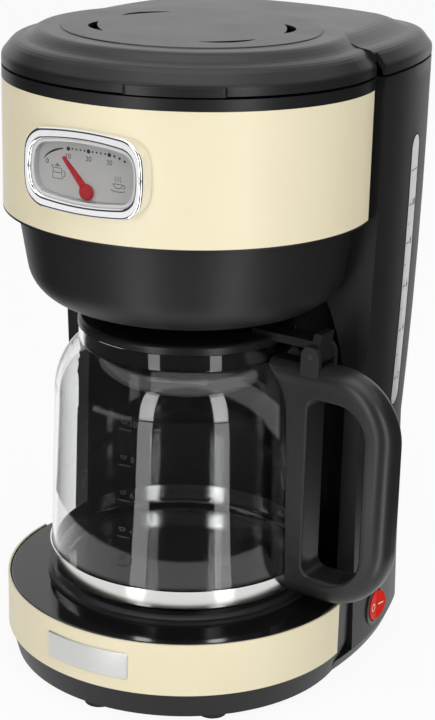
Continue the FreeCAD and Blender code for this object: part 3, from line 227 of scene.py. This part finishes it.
def lay_strip(mesh, rows, closed, thickness):
    """Adds one printed line to a mesh as a flat bar, closed into a loop or capped at its ends."""
    grid = []
    for left, right in rows:
        corners = ((*left, thickness), (*right, thickness), (*right, 0.0), (*left, 0.0))
        grid.append([mesh.verts.new(corner) for corner in corners])
    count = len(grid) if closed else len(grid) - 1
    for i in range(count):
        here = grid[i]
        there = grid[(i + 1) % len(grid)]
        for k in range(4):
            mesh.faces.new((here[k], here[(k + 1) % 4], there[(k + 1) % 4], there[k]))
    if not closed:
        mesh.faces.new(grid[0])
        mesh.faces.new(grid[-1])


def lay_number(mesh, words, size, x, y, thickness):
    """Adds a printed number to a mesh, centred on a flat point."""
    font = bpy.data.curves.new("number", "FONT")
    font.body = words
    font.size = size
    font.align_x = "CENTER"
    font.align_y = "CENTER"
    font.extrude = thickness / 2
    carrier = bpy.data.objects.new("number", font)
    bpy.context.scene.collection.objects.link(carrier)
    bpy.context.view_layer.update()
    flat = bpy.data.meshes.new_from_object(carrier.evaluated_get(bpy.context.evaluated_depsgraph_get()))
    flat.transform(Matrix.Translation((x, y, thickness / 2)))
    mesh.from_mesh(flat)
    bpy.data.objects.remove(carrier)
    bpy.data.curves.remove(font)
    bpy.data.meshes.remove(flat)


def place_mesh(name, mesh, material):
    """Puts a finished mesh into the scene as an object with one material."""
    data = bpy.data.meshes.new(name)
    mesh.to_mesh(data)
    mesh.free()
    data.materials.append(material)
    piece = bpy.data.objects.new(name, data)
    bpy.context.scene.collection.objects.link(piece)
    return piece


def printed(name, strips, numbers, place, thickness, material, body):
    """Thin printed piece on a body. place(u, v, w) lays its flat strips and numbers onto a surface."""
    mesh = bmesh.new()
    for rows, closed in strips:
        lay_strip(mesh, rows, closed, thickness)
    for words, size, x, y in numbers:
        lay_number(mesh, words, size, x, y, thickness)
    weld = 1e-7
    bmesh.ops.remove_doubles(mesh, verts=mesh.verts, dist=weld)
    bmesh.ops.recalc_face_normals(mesh, faces=mesh.faces)
    for vert in mesh.verts:
        vert.co = place(*vert.co)
    piece = place_mesh(name, mesh, material)
    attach(piece, body)


switch_black = moulded("switch_black", (0.012, 0.012, 0.012), 0.3)
rocker_red_glowing = moulded("rocker_red_glowing", (0.6, 0.012, 0.004), 0.3, spread=0.05, cloud=0.25, depth=0.000005,
                     sheen=0.1)
rocker_sockets = shader_sockets(rocker_red_glowing)
# Painted glow: a faint red emission brightens the rocker's red, though no lamp lights it.
rocker_sockets["Emission Color"].default_value = (0.8, 0.03, 0.01, 1.0)
rocker_sockets["Emission Strength"].default_value = 0.12
rocker_sockets["IOR"].default_value = 1.25
switch_ink = moulded("switch_ink", (0.85, 0.82, 0.78), 0.5, cloud=0.3, grain=4000.0)
dress(switch_black, "switch_bezel", "switch_body")
dress(rocker_red_glowing, "switch_rocker")
brew_low, brew_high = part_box("plate_gasket")
brew_x = (brew_low.x + brew_high.x) / 2
brew_y = (brew_low.y + brew_high.y) / 2
side_radius = 0.240
side_centre_y = 0.036
rocker_joint = next(joint for joint in frame["joints"] if joint["name"] == "switch_rock")
rocker_pivot = Vector(rocker_joint["pos_m"])
rocker_tilt = 8.0
wall_turn = math.asin((rocker_pivot.y - brew_y - side_centre_y) / side_radius)
face_rise = 0.0024
switch_ink_gap = 0.00006
switch_ink_depth = 0.00006
front_half = Matrix.Translation(rocker_pivot) @ Matrix.Rotation(wall_turn, 4, "Z")
rear_half = front_half @ Matrix.Rotation(math.radians(-2 * rocker_tilt), 4, "Z")


def on_front_half(u, v, w):
    """The half of the rocker's face that lies along the wall at rest. u runs to the rear and v up."""
    return front_half @ Vector((face_rise + switch_ink_gap + w, u, v))


def on_rear_half(u, v, w):
    """The other half of the rocker's face, turned from the first by the V."""
    return rear_half @ Vector((face_rise + switch_ink_gap + w, u, v))


off_centre = -0.0046
off_radius = 0.0021
off_line = 0.0006
on_start = 0.0022
on_end = 0.007
on_line = 0.0007
off_ring = ribbon(arc_points(off_centre, 0.0, off_radius, 0, 345, 23), off_line, True)
on_bar = ribbon([(on_start, 0.0), (on_end, 0.0)], on_line)
for name, sign, place in (("switch_off_mark", off_ring, on_front_half),
                          ("switch_on_mark", on_bar, on_rear_half)):
    printed(name, [sign], [], place, switch_ink_depth, switch_ink, "rocker")

# Deck and warming plate. The top of the base is a glossy black moulding with a large round hole. A
# sheet-steel plate with a dark non-stick coat sits in it on a rubber ring.
deck_gloss = moulded("deck_gloss", (0.007, 0.007, 0.008), 0.1, spread=0.05, depth=0.000003, sheen=0.4)
plate_coat = moulded("plate_coat", (0.02, 0.02, 0.021), 0.3, spread=0.12, cloud=0.5, grain=3000.0,
                     depth=0.00003)
ring_rubber = moulded("ring_rubber", (0.015, 0.015, 0.015), 0.7, grain=1600.0, depth=0.00004)
dress(deck_gloss, "base_deck")
dress(plate_coat, "warming_plate")
dress(ring_rubber, "plate_gasket")

# Cream bands. Two bands of thin sheet steel, rolled round the base and round the head, with a satin
# cream lacquer baked on.
cream_lacquer = moulded("cream_lacquer", (0.82, 0.74, 0.525), 0.42, spread=0.06, cloud=0.035, grain=1500.0,
                        depth=0.000012, sheen=0.4)
dress(cream_lacquer, "base_band", "head_band")

# Badge plate. A bare curved plate of satin aluminium, brushed along its length. It is bent to the lower
# band and glued on.


def build_brush_lines():
    """Fine scratches along one direction, as shades of the metal, a roughness and a height."""
    inputs = (("Dark", "Color"), ("Light", "Color"), ("Stretch", "Vector"), ("Gloss", "Float"),
              ("Gloss Spread", "Float"))
    group = finish_group("brush_lines", inputs, skin_outputs)
    given = group.nodes.new("NodeGroupInput")
    out = group.nodes.new("NodeGroupOutput")
    where = group.nodes.new("ShaderNodeTexCoord")
    drawn = group.nodes.new("ShaderNodeVectorMath")
    drawn.operation = "MULTIPLY"
    feed(group, drawn.inputs[0], where.outputs["Object"])
    feed(group, drawn.inputs[1], given.outputs["Stretch"])
    scratch = speckle(group, drawn.outputs[0], 1.0, 5.0)
    shades = group.nodes.new("ShaderNodeMix")
    shades.data_type = "RGBA"
    feed(group, shades.inputs["Factor"], scratch)
    feed(group, shades.inputs["A"], given.outputs["Dark"])
    feed(group, shades.inputs["B"], given.outputs["Light"])
    rough = reckon(group, "MULTIPLY_ADD", scratch, given.outputs["Gloss Spread"], given.outputs["Gloss"])
    for name, result in (("Color", shades.outputs["Result"]), ("Roughness", rough), ("Height", scratch)):
        feed(group, out.inputs[name], result)
    return group


brush_lines = build_brush_lines()


def brushed(name, dark, light, gloss, spread, stretch, depth):
    """A metal brushed along one direction: stretch scales the scratches along X, Y and Z, per metre."""
    values = {"Dark": (*dark, 1.0), "Light": (*light, 1.0), "Stretch": stretch, "Gloss": gloss,
              "Gloss Spread": spread}
    material = skinned(name, brush_lines, values, depth)
    shader_sockets(material)["Metallic"].default_value = 1.0
    return material


badge_satin = brushed("badge_satin", (0.57, 0.57, 0.56), (0.71, 0.71, 0.69), gloss=0.22, spread=0.25,
                      stretch=(90.0, 90.0, 5200.0), depth=0.00001)
dress(badge_satin, "badge_plate")

# Water path. A smoky plastic tank stands in the tower. Its outlet goes through a rubber seal and a check
# valve into a silicone hose, and a second hose carries the hot water up to the shower arm.
tank_smoke = moulded("tank_smoke", (0.05, 0.05, 0.055), 0.25, depth=0.00001)
valve_white = moulded("valve_white", (0.78, 0.78, 0.76), 0.45)
silicone = moulded("silicone", (0.68, 0.67, 0.63), 0.5, cloud=0.3, grain=1200.0)
arm_grey = moulded("arm_grey", (0.06, 0.06, 0.06), 0.5)
dress(tank_smoke, "water_tank")
dress(ring_rubber, "tank_seal")
dress(valve_white, "check_valve")
dress(silicone, "cold_hose", "riser_tube")
dress(arm_grey, "shower_arm")

# Tower shell and level window. The tower's upper shell is the same black moulding as its foot. A frosted
# strip in its right wall shows the water, with a scale of marks and cup numbers printed on it. A thin
# dark line round its edge, in the black rubber finish, is painted shade where the window sits in the wall.
tower_black = moulded("tower_black", (0.013, 0.013, 0.014), 0.4)
window_frost = moulded("window_frost", (0.6, 0.605, 0.62), 0.3, spread=0.1, cloud=0.18, grain=2600.0)
window_sockets = shader_sockets(window_frost)
window_sockets["Coat Weight"].default_value = 0.5
window_sockets["Coat Roughness"].default_value = 0.1
window_ink = moulded("window_ink", (0.06, 0.06, 0.065), 0.5, cloud=0.4, grain=4000.0)
dress(tower_black, "tower_shell")
dress(window_frost, "level_window")
tower_top_half = 0.1013
tower_waist_half = 0.096
tower_waist_z = 0.129
tower_top_z = 0.333
tower_steps = 6
tower_bow = 2.2
window_ink_gap = 0.00003
window_ink_depth = 0.00005


def on_window(u, v, w):
    """The right wall of the tower, which bows along Y and leans out in straight steps as it rises."""
    rise = (v - tower_waist_z) / (tower_top_z - tower_waist_z) * tower_steps
    step = min(int(rise), tower_steps - 1)
    swell = [1 - (1 - k / tower_steps) ** tower_bow for k in (step, step + 1)]
    share = swell[0] + (rise - step) * (swell[1] - swell[0])
    half = tower_waist_half + share * (tower_top_half - tower_waist_half)
    bow = side_radius - (tower_top_half - half)
    x = tower_top_half - side_radius + math.sqrt(bow ** 2 - (u - side_centre_y) ** 2)
    return Vector((brew_x + x + window_ink_gap + w, brew_y + u, v))


mark_start = 0.0712
cup_mark_end = 0.0757
between_mark_end = 0.0736
full_mark_end = 0.0818
full_mark_z = 0.281
mark_line = 0.0006
between_mark_line = 0.0004
window_number_y = 0.0795
window_number_size = 0.0058
window_marks = []
window_numbers = []
for cups, height in ((2, 0.160), (4, 0.189), (6, 0.215), (8, 0.240), (10, 0.262)):
    window_marks.append(ribbon([(mark_start, height), (cup_mark_end, height)], mark_line))
    window_numbers.append((str(cups), window_number_size, window_number_y, height))
window_marks.append(ribbon([(mark_start, full_mark_z), (full_mark_end, full_mark_z)], mark_line))
for height in (0.1745, 0.202, 0.2275, 0.251):
    window_marks.append(ribbon([(mark_start, height), (between_mark_end, height)], between_mark_line))
printed("window_scale", window_marks, window_numbers, on_window, window_ink_depth, window_ink, "machine")
window_low = 0.143
window_high = 0.301
window_middle = 0.0765
window_end_radius = 0.0075
# Painted shade: a thin dark line round the window's edge stands for the shade where the window sits in the
# wall.
shade_line_half = 0.0074
shade_line_width = 0.0008
shade_line_depth = 0.00006
shade_line_steps = 24
straight = window_high - window_low - 2 * window_end_radius
shade_line_path = []
for z, start, reach in ((window_high - window_end_radius, 0, 1), (window_low + window_end_radius, 180, -1)):
    shade_line_path += arc_points(window_middle, z, shade_line_half, start, start + 180, 16)
    for k in range(1, shade_line_steps):
        shade_line_path.append((window_middle - reach * shade_line_half, z - reach * straight * k / shade_line_steps))
shade_line_loop = ribbon(shade_line_path, shade_line_width, True)
printed("window_shade_line", [shade_line_loop], [], on_window, shade_line_depth, ring_rubber, "machine")

# Brew head. The bowl, its round wall and the rim on top of it are black mouldings. The rim carries the
# lid's hinge, and the bowl's lip holds the lower edge of the cream band.
head_black = moulded("head_black", (0.013, 0.013, 0.014), 0.43)
rim_black = moulded("rim_black", (0.011, 0.011, 0.012), 0.36)
hinge_steel = metal("hinge_steel", (0.66, 0.66, 0.64), 0.2)
dress(head_black, "head_housing")
dress(rim_black, "top_frame")
dress(hinge_steel, "lid_hinge_pin")

# Time dial. A chromed bezel stands proud of the head band. Under its clear lens are a pale printed dial
# in a white pod, a small clockwork behind it, and a red pointer with a domed red hub.


def build_hand_film():
    """The faint film that hands leave on clear pieces, as a roughness."""
    group = finish_group("hand_film", (("Film", "Float"),), (("Roughness", "Float"),))
    given = group.nodes.new("NodeGroupInput")
    out = group.nodes.new("NodeGroupOutput")
    where = group.nodes.new("ShaderNodeTexCoord")
    smear = speckle(group, where.outputs["Object"], 45.0, 3.0)
    feed(group, out.inputs["Roughness"], reckon(group, "MULTIPLY", smear, given.outputs["Film"]))
    return group


hand_film = build_hand_film()


def clear_glass(name, tint, bend):
    """Clear glass or lens: its tint and its index of refraction."""
    material = bpy.data.materials.new(name)
    material.use_nodes = True
    tree = material.node_tree
    sockets = shader_sockets(material)
    sockets["Base Color"].default_value = (*tint, 1.0)
    sockets["Transmission Weight"].default_value = 1.0
    sockets["IOR"].default_value = bend
    film = tree.nodes.new("ShaderNodeGroup")
    film.node_tree = hand_film
    film.inputs["Film"].default_value = 0.02
    tree.links.new(film.outputs["Roughness"], sockets["Roughness"])
    return material


def dot(x, y, radius):
    """A printed round dot, as rows from its top to its foot."""
    rows = []
    steps = 12
    tip = 4
    for i in range(steps + 1):
        angle = math.radians(tip + (180 - 2 * tip) * i / steps)
        across = radius * math.sin(angle)
        height = y + radius * math.cos(angle)
        rows.append(((x - across, height), (x + across, height)))
    return rows, False


bezel_chrome = metal("bezel_chrome", (0.88, 0.88, 0.89), 0.1, spread=0.04, cloud=0.03, grain=600.0)
pod_white = moulded("pod_white", (0.6, 0.6, 0.6), 0.4)
dial_card = moulded("dial_card", (0.62, 0.614, 0.605), 0.55, cloud=0.06, grain=3500.0, depth=0.00001)
dial_ink = moulded("dial_ink", (0.03, 0.03, 0.032), 0.6, cloud=0.4, grain=4000.0)
pointer_red = moulded("pointer_red", (0.55, 0.012, 0.022), 0.22, spread=0.06, cloud=0.15, depth=0.000004)
lens_clear = clear_glass("lens_clear", (0.99, 0.99, 0.99), 1.12)
clockwork_white = moulded("clockwork_white", (0.7, 0.7, 0.68), 0.5)
dress(bezel_chrome, "gauge_bezel")
dress(pod_white, "gauge_pod")
dress(dial_card, "gauge_dial")
dress(pointer_red, "gauge_needle", "gauge_hub")
dress(lens_clear, "gauge_lens")
dress(clockwork_white, "gauge_movement")
dial_face_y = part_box("gauge_dial")[0].y
dial_ink_gap = 0.00002
dial_ink_depth = 0.00005


def on_dial(u, v, w):
    """The flat face of the dial, which looks to the front. u runs to the right and v up."""
    return Vector((brew_x + u, dial_face_y - dial_ink_gap - w, v))


ten_dot = 0.00105
two_dot = 0.0005
late_dot = 0.00065
dot_row_z = 0.3092
thick_arc = [(-0.0262, 0.3026), (-0.0244, 0.3045), (-0.022, 0.3062), (-0.0195, 0.3074), (-0.0168, 0.3083),
             (-0.0146, 0.3087)]
dial_strips = [ribbon(thick_arc, [0.0003, 0.0007, 0.0010, 0.0011, 0.0009, 0.0006])]
for x, z in ((-0.0115, 0.309), (0.0005, dot_row_z), (0.0127, 0.309)):
    dial_strips.append(dot(x, z, ten_dot))
for x in (-0.0091, -0.0067, -0.0043, -0.0019, 0.0029, 0.0053, 0.0077, 0.0103):
    dial_strips.append(dot(x, dot_row_z, two_dot))
for x, z in ((0.0157, 0.3087), (0.0187, 0.308), (0.0217, 0.3069)):
    dial_strips.append(dot(x, z, late_dot))
sign_line = 0.00035
thin_sign_line = 0.0003
lid_sign_line = 0.0004
steam_line = 0.00026
knob_dot = 0.0005
jug_side = [(-0.0211, 0.2931), (-0.0206, 0.2985), (-0.0157, 0.2985), (-0.0152, 0.2931)]
jug_spout = [(-0.0208, 0.2985), (-0.0219, 0.2997), (-0.0205, 0.2997)]
dial_strips += [
    ribbon(jug_side, sign_line, True),
    ribbon([(-0.0209, 0.2962), (-0.0154, 0.2962)], thin_sign_line),
    ribbon(arc_points(-0.0152, 0.2958, 0.0017, -80, 80, 12), sign_line),
    ribbon(jug_spout, thin_sign_line),
    ribbon([(-0.0198, 0.2996), (-0.0164, 0.2996)], lid_sign_line),
    dot(-0.0181, 0.3004, knob_dot),
]
cup_x = 0.0178
cup_rim_z = 0.2951
dial_strips += [
    ribbon(arc_points(cup_x, cup_rim_z, 0.0026, 180, 360, 18, 0.85), sign_line),
    ribbon([(0.0151, cup_rim_z), (0.0205, cup_rim_z)], thin_sign_line),
    ribbon(arc_points(0.0208, 0.2942, 0.0010, -100, 90, 10), thin_sign_line),
    ribbon(arc_points(cup_x, 0.2923, 0.0042, 195, 345, 16, 0.25), sign_line),
]
for x in (0.0164, cup_x, 0.0192):
    steam = [(x, 0.2961), (x + 0.0005, 0.2969), (x - 0.0003, 0.2979), (x + 0.0004, 0.2989)]
    dial_strips.append(ribbon(steam, steam_line))
dial_number_size = 0.0036
dial_numbers = []
for minutes, x, z in ((0, -0.0242, 0.3012), (10, -0.0117, 0.3052), (20, 0.0005, 0.3053),
                      (30, 0.0127, 0.3051)):
    dial_numbers.append((str(minutes), dial_number_size, x, z))
printed("dial_print", dial_strips, dial_numbers, on_dial, dial_ink_depth, dial_ink, "machine")

# Filter basket and drip stop. The grey basket hangs in the bowl by its flange. A moulded stem closes its
# outlet until the jug's lid lifts it, and a spring of steel wire round the stem pushes it shut again.
basket_grey = moulded("basket_grey", (0.03, 0.03, 0.031), 0.45)
stem_grey = moulded("stem_grey", (0.05, 0.05, 0.052), 0.35)
seal_rubber = moulded("seal_rubber", (0.35, 0.34, 0.32), 0.6, grain=1600.0)
spring_steel = metal("spring_steel", (0.6, 0.6, 0.6), 0.24)
dress(basket_grey, "filter_basket")
dress(stem_grey, "drip_valve")
dress(seal_rubber, "drip_seal")
dress(spring_steel, "drip_spring")
coil_low, coil_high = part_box("drip_spring")
coil_turns = 6
coil_radius = 0.007
wire_radius = 0.0009
wire_sides = 10
steps_per_turn = 32


def wound_coil(name, material):
    """The closing spring: round wire wound in a helix, with flat cut ends."""
    mesh = bmesh.new()
    rings = []
    steps = coil_turns * steps_per_turn
    rise = coil_high.z - coil_low.z - 2 * wire_radius
    for i in range(steps + 1):
        turn = 2 * math.pi * coil_turns * i / steps
        out = Vector((math.cos(turn), math.sin(turn), 0.0))
        centre = Vector((brew_x, brew_y, coil_low.z + wire_radius + rise * i / steps)) + out * coil_radius
        ring = []
        for k in range(wire_sides):
            angle = 2 * math.pi * k / wire_sides
            around = out * math.cos(angle) + Vector((0, 0, math.sin(angle)))
            ring.append(mesh.verts.new(centre + wire_radius * around))
        rings.append(ring)
    for here, there in zip(rings, rings[1:]):
        for k in range(wire_sides):
            after = (k + 1) % wire_sides
            mesh.faces.new((here[k], here[after], there[after], there[k]))
    mesh.faces.new(rings[0])
    mesh.faces.new(rings[-1])
    bmesh.ops.recalc_face_normals(mesh, faces=mesh.faces)
    piece = place_mesh(name, mesh, material)
    piece.data.shade_smooth()
    return piece


drip_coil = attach(wound_coil("drip_coil", spring_steel), "machine")
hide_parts("drip_spring")
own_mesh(drip_coil)

# Lid. One black moulding covers the whole top, with a bevelled edge, a shelf and a raised plateau. A thin
# round vent disc lies in it, a liner hangs below, and a finger tab sticks out at the front right edge.
lid_black = moulded("lid_black", (0.014, 0.014, 0.015), 0.34, spread=0.1, grain=2400.0, sheen=0.3)
disc_black = moulded("disc_black", (0.015, 0.015, 0.016), 0.36, spread=0.1, grain=2400.0, sheen=0.32)
liner_black = moulded("liner_black", (0.02, 0.02, 0.02), 0.5)
dress(lid_black, "lid_shell", "lid_tab")
dress(disc_black, "lid_vent_disc")
dress(liner_black, "lid_liner")

# Jug. Blown clear glass with a pouring lip, printed with a scale of cups, and a polished steel strap
# round its foot that clamps the handle.
jug_clear = clear_glass("jug_clear", (0.985, 0.992, 0.99), 1.45)
jug_ink = moulded("jug_ink", (0.035, 0.035, 0.037), 0.5, cloud=0.4, grain=4000.0)
strap_polish = brushed("strap_polish", (0.64, 0.64, 0.63), (0.8, 0.8, 0.79), gloss=0.09, spread=0.1,
                       stretch=(25.0, 25.0, 2600.0), depth=0.000003)
dress(jug_clear, "jug_glass")
dress(strap_polish, "jug_strap")
glass_foot_radius = 0.075
glass_shoulder_radius = 0.073
glass_foot_z = 0.062
glass_shoulder_z = 0.158
scale_azimuth = 6.0
jug_ink_gap = 0.00004
jug_ink_depth = 0.00005


def on_jug(u, v, w):
    """The glass wall, which narrows a little as it rises. u runs round it from the scale's place."""
    share = (v - glass_foot_z) / (glass_shoulder_z - glass_foot_z)
    radius = glass_foot_radius + share * (glass_shoulder_radius - glass_foot_radius) + jug_ink_gap + w
    angle = math.radians(scale_azimuth) + u / glass_foot_radius
    return Vector((brew_x + radius * math.sin(angle), brew_y - radius * math.cos(angle), v))


level_line = 0.0005
level_points = (-0.0042, -0.0005, 0.0032)
cup_line = 0.0004
cup_middle = -0.0012
cup_radius = 0.0018
cup_rim_half = 0.002
cup_rise = 0.0052
jug_number_size = 0.0046
jug_number_place = 0.0042
jug_number_rise = 0.0036
jug_marks = []
jug_numbers = []
for cups, height in ((2, 0.0785), (4, 0.0955), (6, 0.1165), (8, 0.1365), (10, 0.1565)):
    rim = height + cup_rise
    jug_marks.append(ribbon([(u, height) for u in level_points], level_line))
    jug_marks.append(ribbon(arc_points(cup_middle, rim, cup_radius, 180, 360, 12, 0.9), cup_line))
    jug_marks.append(ribbon([(cup_middle - cup_rim_half, rim), (cup_middle + cup_rim_half, rim)], cup_line))
    jug_numbers.append((str(cups), jug_number_size, jug_number_place, height + jug_number_rise))
printed("jug_scale", jug_marks, jug_numbers, on_jug, jug_ink_depth, jug_ink, "jug")

# Jug handle and lid. The handle is a black moulded loop with a smooth cover over its back, screwed to
# the strap. The flat black lid turns on a steel pin between the cover's ears, and a ring under it fills
# the neck.
handle_black = moulded("handle_black", (0.013, 0.013, 0.014), 0.38, sheen=0.36)
cover_black = moulded("cover_black", (0.015, 0.015, 0.016), 0.34, sheen=0.42)
lid_cap_black = moulded("lid_cap_black", (0.01, 0.01, 0.011), 0.3)
neck_ring_black = moulded("neck_ring_black", (0.006, 0.006, 0.007), 0.12, spread=0.04, depth=0.000004,
                          sheen=0.35)
pin_steel = metal("pin_steel", (0.12, 0.12, 0.12), 0.3)
dress(handle_black, "jug_handle")
dress(cover_black, "handle_cover")
dress(lid_cap_black, "jug_lid")
dress(neck_ring_black, "jug_lid_skirt")
dress(pin_steel, "jug_lid_pin", "handle_screw")

# Studio. A pale seamless floor, a white surround, two upright softboxes either side of the camera and a
# large soft light overhead. Dark cards and two light strips show only in the glass, chrome and gloss.


def seen_directly(tree):
    """1 where the camera, a reflection or a look through glass meets the surface, and otherwise 0."""
    path = tree.nodes.new("ShaderNodeLightPath")
    mirrored = reckon(tree, "MAXIMUM", path.outputs["Is Camera Ray"], path.outputs["Is Glossy Ray"])
    return reckon(tree, "MAXIMUM", mirrored, path.outputs["Is Transmission Ray"])


def either_shade(tree, share, plain, seen, end):
    """Mixes two shaders by a share and links the mix to the end of the tree."""
    mix = tree.nodes.new("ShaderNodeMixShader")
    feed(tree, mix.inputs["Fac"], share)
    feed(tree, mix.inputs[1], plain.outputs[0])
    feed(tree, mix.inputs[2], seen.outputs[0])
    feed(tree, end.inputs["Surface"], mix.outputs[0])


floor_white_share = 0.92
floor_half = 6.0
floor_paint = bpy.data.materials.new("floor_paint")
floor_paint.use_nodes = True
floor_tree = floor_paint.node_tree
floor_shader = floor_tree.nodes["Principled BSDF"]
floor_shader.inputs["Roughness"].default_value = 0.9
floor_shader.inputs["Specular IOR Level"].default_value = 0.1
floor_tone = floor_tree.nodes.new("ShaderNodeTexNoise")
floor_tone.inputs["Scale"].default_value = 3.0
floor_mix = floor_tree.nodes.new("ShaderNodeMix")
floor_mix.data_type = "RGBA"
floor_mix.inputs["A"].default_value = (0.86, 0.86, 0.86, 1.0)
floor_mix.inputs["B"].default_value = (0.88, 0.88, 0.88, 1.0)
floor_tree.links.new(floor_tone.outputs["Fac"], floor_mix.inputs["Factor"])
floor_tree.links.new(floor_mix.outputs["Result"], floor_shader.inputs["Base Color"])
floor_share = reckon(floor_tree, "MULTIPLY", seen_directly(floor_tree), floor_white_share)
floor_white = floor_tree.nodes.new("ShaderNodeEmission")
either_shade(floor_tree, floor_share, floor_shader, floor_white, floor_tree.nodes["Material Output"])
floor_corners = [(x * floor_half, y * floor_half, 0) for x, y in ((-1, -1), (1, -1), (1, 1), (-1, 1))]
floor_mesh = bpy.data.meshes.new("floor")
floor_mesh.from_pydata(floor_corners, [], [(0, 1, 2, 3)])
floor_mesh.materials.append(floor_paint)
floor = bpy.data.objects.new("floor", floor_mesh)
bpy.context.scene.collection.objects.link(floor)

world = bpy.data.worlds.new("studio")
bpy.context.scene.world = world
world.use_nodes = True
sky = world.node_tree
sky.nodes.clear()


def white_sky(strength):
    """A white surround of this strength."""
    shade = sky.nodes.new("ShaderNodeBackground")
    shade.inputs["Color"].default_value = (1.0, 1.0, 1.0, 1.0)
    shade.inputs["Strength"].default_value = strength
    return shade


sky_fill = white_sky(0.42)
sky_white = white_sky(1.0)
either_shade(sky, seen_directly(sky), sky_fill, sky_white, sky.nodes.new("ShaderNodeOutputWorld"))

aim = Vector((brew_x, brew_y, 0.18))


def softbox(name, azimuth, distance, height, wide, tall, power):
    """A soft light that faces the object, at an azimuth from the front."""
    lamp = bpy.data.lights.new(name, "AREA")
    lamp.shape = "RECTANGLE"
    lamp.size = wide
    lamp.size_y = tall
    lamp.energy = power
    holder = bpy.data.objects.new(name, lamp)
    angle = math.radians(azimuth)
    away = Vector((distance * math.sin(angle), -distance * math.cos(angle), height - aim.z))
    holder.location = aim + away
    holder.rotation_euler = (aim - holder.location).to_track_quat("-Z", "Y").to_euler()
    holder.visible_camera = False
    bpy.context.scene.collection.objects.link(holder)


for name, azimuth in (("softbox_left", -1.0), ("softbox_right", 61.0)):
    softbox(name, azimuth, distance=1.35, height=0.5, wide=0.3, tall=1.0, power=5.4)
softbox("softbox_top", 20.0, distance=0.25, height=1.7, wide=1.3, tall=1.3, power=9.0)


def plain_paint(name, tone, glow):
    """Matt paint of a studio card, or with a glow the cloth of a light strip."""
    paint = bpy.data.materials.new(name)
    paint.use_nodes = True
    sockets = shader_sockets(paint)
    sockets["Base Color"].default_value = (tone, tone, tone, 1.0)
    sockets["Roughness"].default_value = 1.0
    sockets["Emission Color"].default_value = (1.0, 1.0, 1.0, 1.0)
    sockets["Emission Strength"].default_value = glow
    return paint


def studio_card(name, start, end, near, far, low, high, paint, through):
    """A card bent from one azimuth to another, upright or flat, that shows only in other surfaces."""
    mesh = bmesh.new()
    rows = []
    steps = 48
    for i in range(steps + 1):
        angle = math.radians(start + (end - start) * i / steps)
        out = Vector((math.sin(angle), -math.cos(angle), 0.0))
        foot = Vector((aim.x, aim.y, low)) + out * near
        head = Vector((aim.x, aim.y, high)) + out * far
        rows.append((mesh.verts.new(foot), mesh.verts.new(head)))
    for here, there in zip(rows, rows[1:]):
        mesh.faces.new((here[0], there[0], there[1], here[1]))
    card = place_mesh(name, mesh, paint)
    card.visible_camera = False
    card.visible_diffuse = False
    card.visible_shadow = False
    card.visible_transmission = through


card_black = plain_paint("card_black", 0.06, 0.0)
strip_cloth = plain_paint("strip_cloth", 0.8, 4.0)
card_start = -105.0
card_end = 168.0
gap_start = -52.0
gap_end = -14.0
gap_near = 0.85
wall_distance = 1.8
wall_top = 1.5
card_near = 0.27
card_z = 0.002
studio_card("dark_wall", card_start, card_end, wall_distance, wall_distance, 0.0, wall_top, card_black, True)
for name, start, end, near, far in (("dark_floor_near", card_start, card_end, card_near, gap_near),
                                    ("dark_floor_left", card_start, gap_start, gap_near, wall_distance),
                                    ("dark_floor_right", gap_end, card_end, gap_near, wall_distance)):
    studio_card(name, start, end, near, far, card_z, card_z, card_black, True)
strip_near = 0.2
strip_far = 1.25
strip_z = 0.004
for name, start, end in (("light_strip_left", -7.0, 5.0), ("light_strip_right", 55.0, 67.0)):
    studio_card(name, start, end, strip_near, strip_far, strip_z, strip_z, strip_cloth, False)

# Camera. It stands in front of the machine's right shoulder, a little above it, with a long lens. It looks
# down at the jug and leans slightly to one side.
heading = math.radians(29.97)
pitch = math.radians(18.87)
roll = math.radians(1.42)
eye = Vector((brew_x + 0.50258, brew_y - 0.83643, 0.50735))
forward = Vector((-math.sin(heading) * math.cos(pitch), math.cos(heading) * math.cos(pitch),
                  -math.sin(pitch)))
level = Vector((math.cos(heading), math.sin(heading), 0.0))
upright = level.cross(forward)
right = level * math.cos(roll) + upright * math.sin(roll)
above = upright * math.cos(roll) - level * math.sin(roll)
pose = Matrix((right, above, -forward)).transposed().to_4x4()
pose.translation = eye
lens = bpy.data.cameras.new("camera")
lens.sensor_fit = "VERTICAL"
lens.sensor_height = 36.0
lens.lens = 92.5
camera = bpy.data.objects.new("camera", lens)
camera.matrix_world = pose
bpy.context.scene.collection.objects.link(camera)
bpy.context.scene.camera = camera
bpy.context.scene.view_settings.view_transform = "Standard"
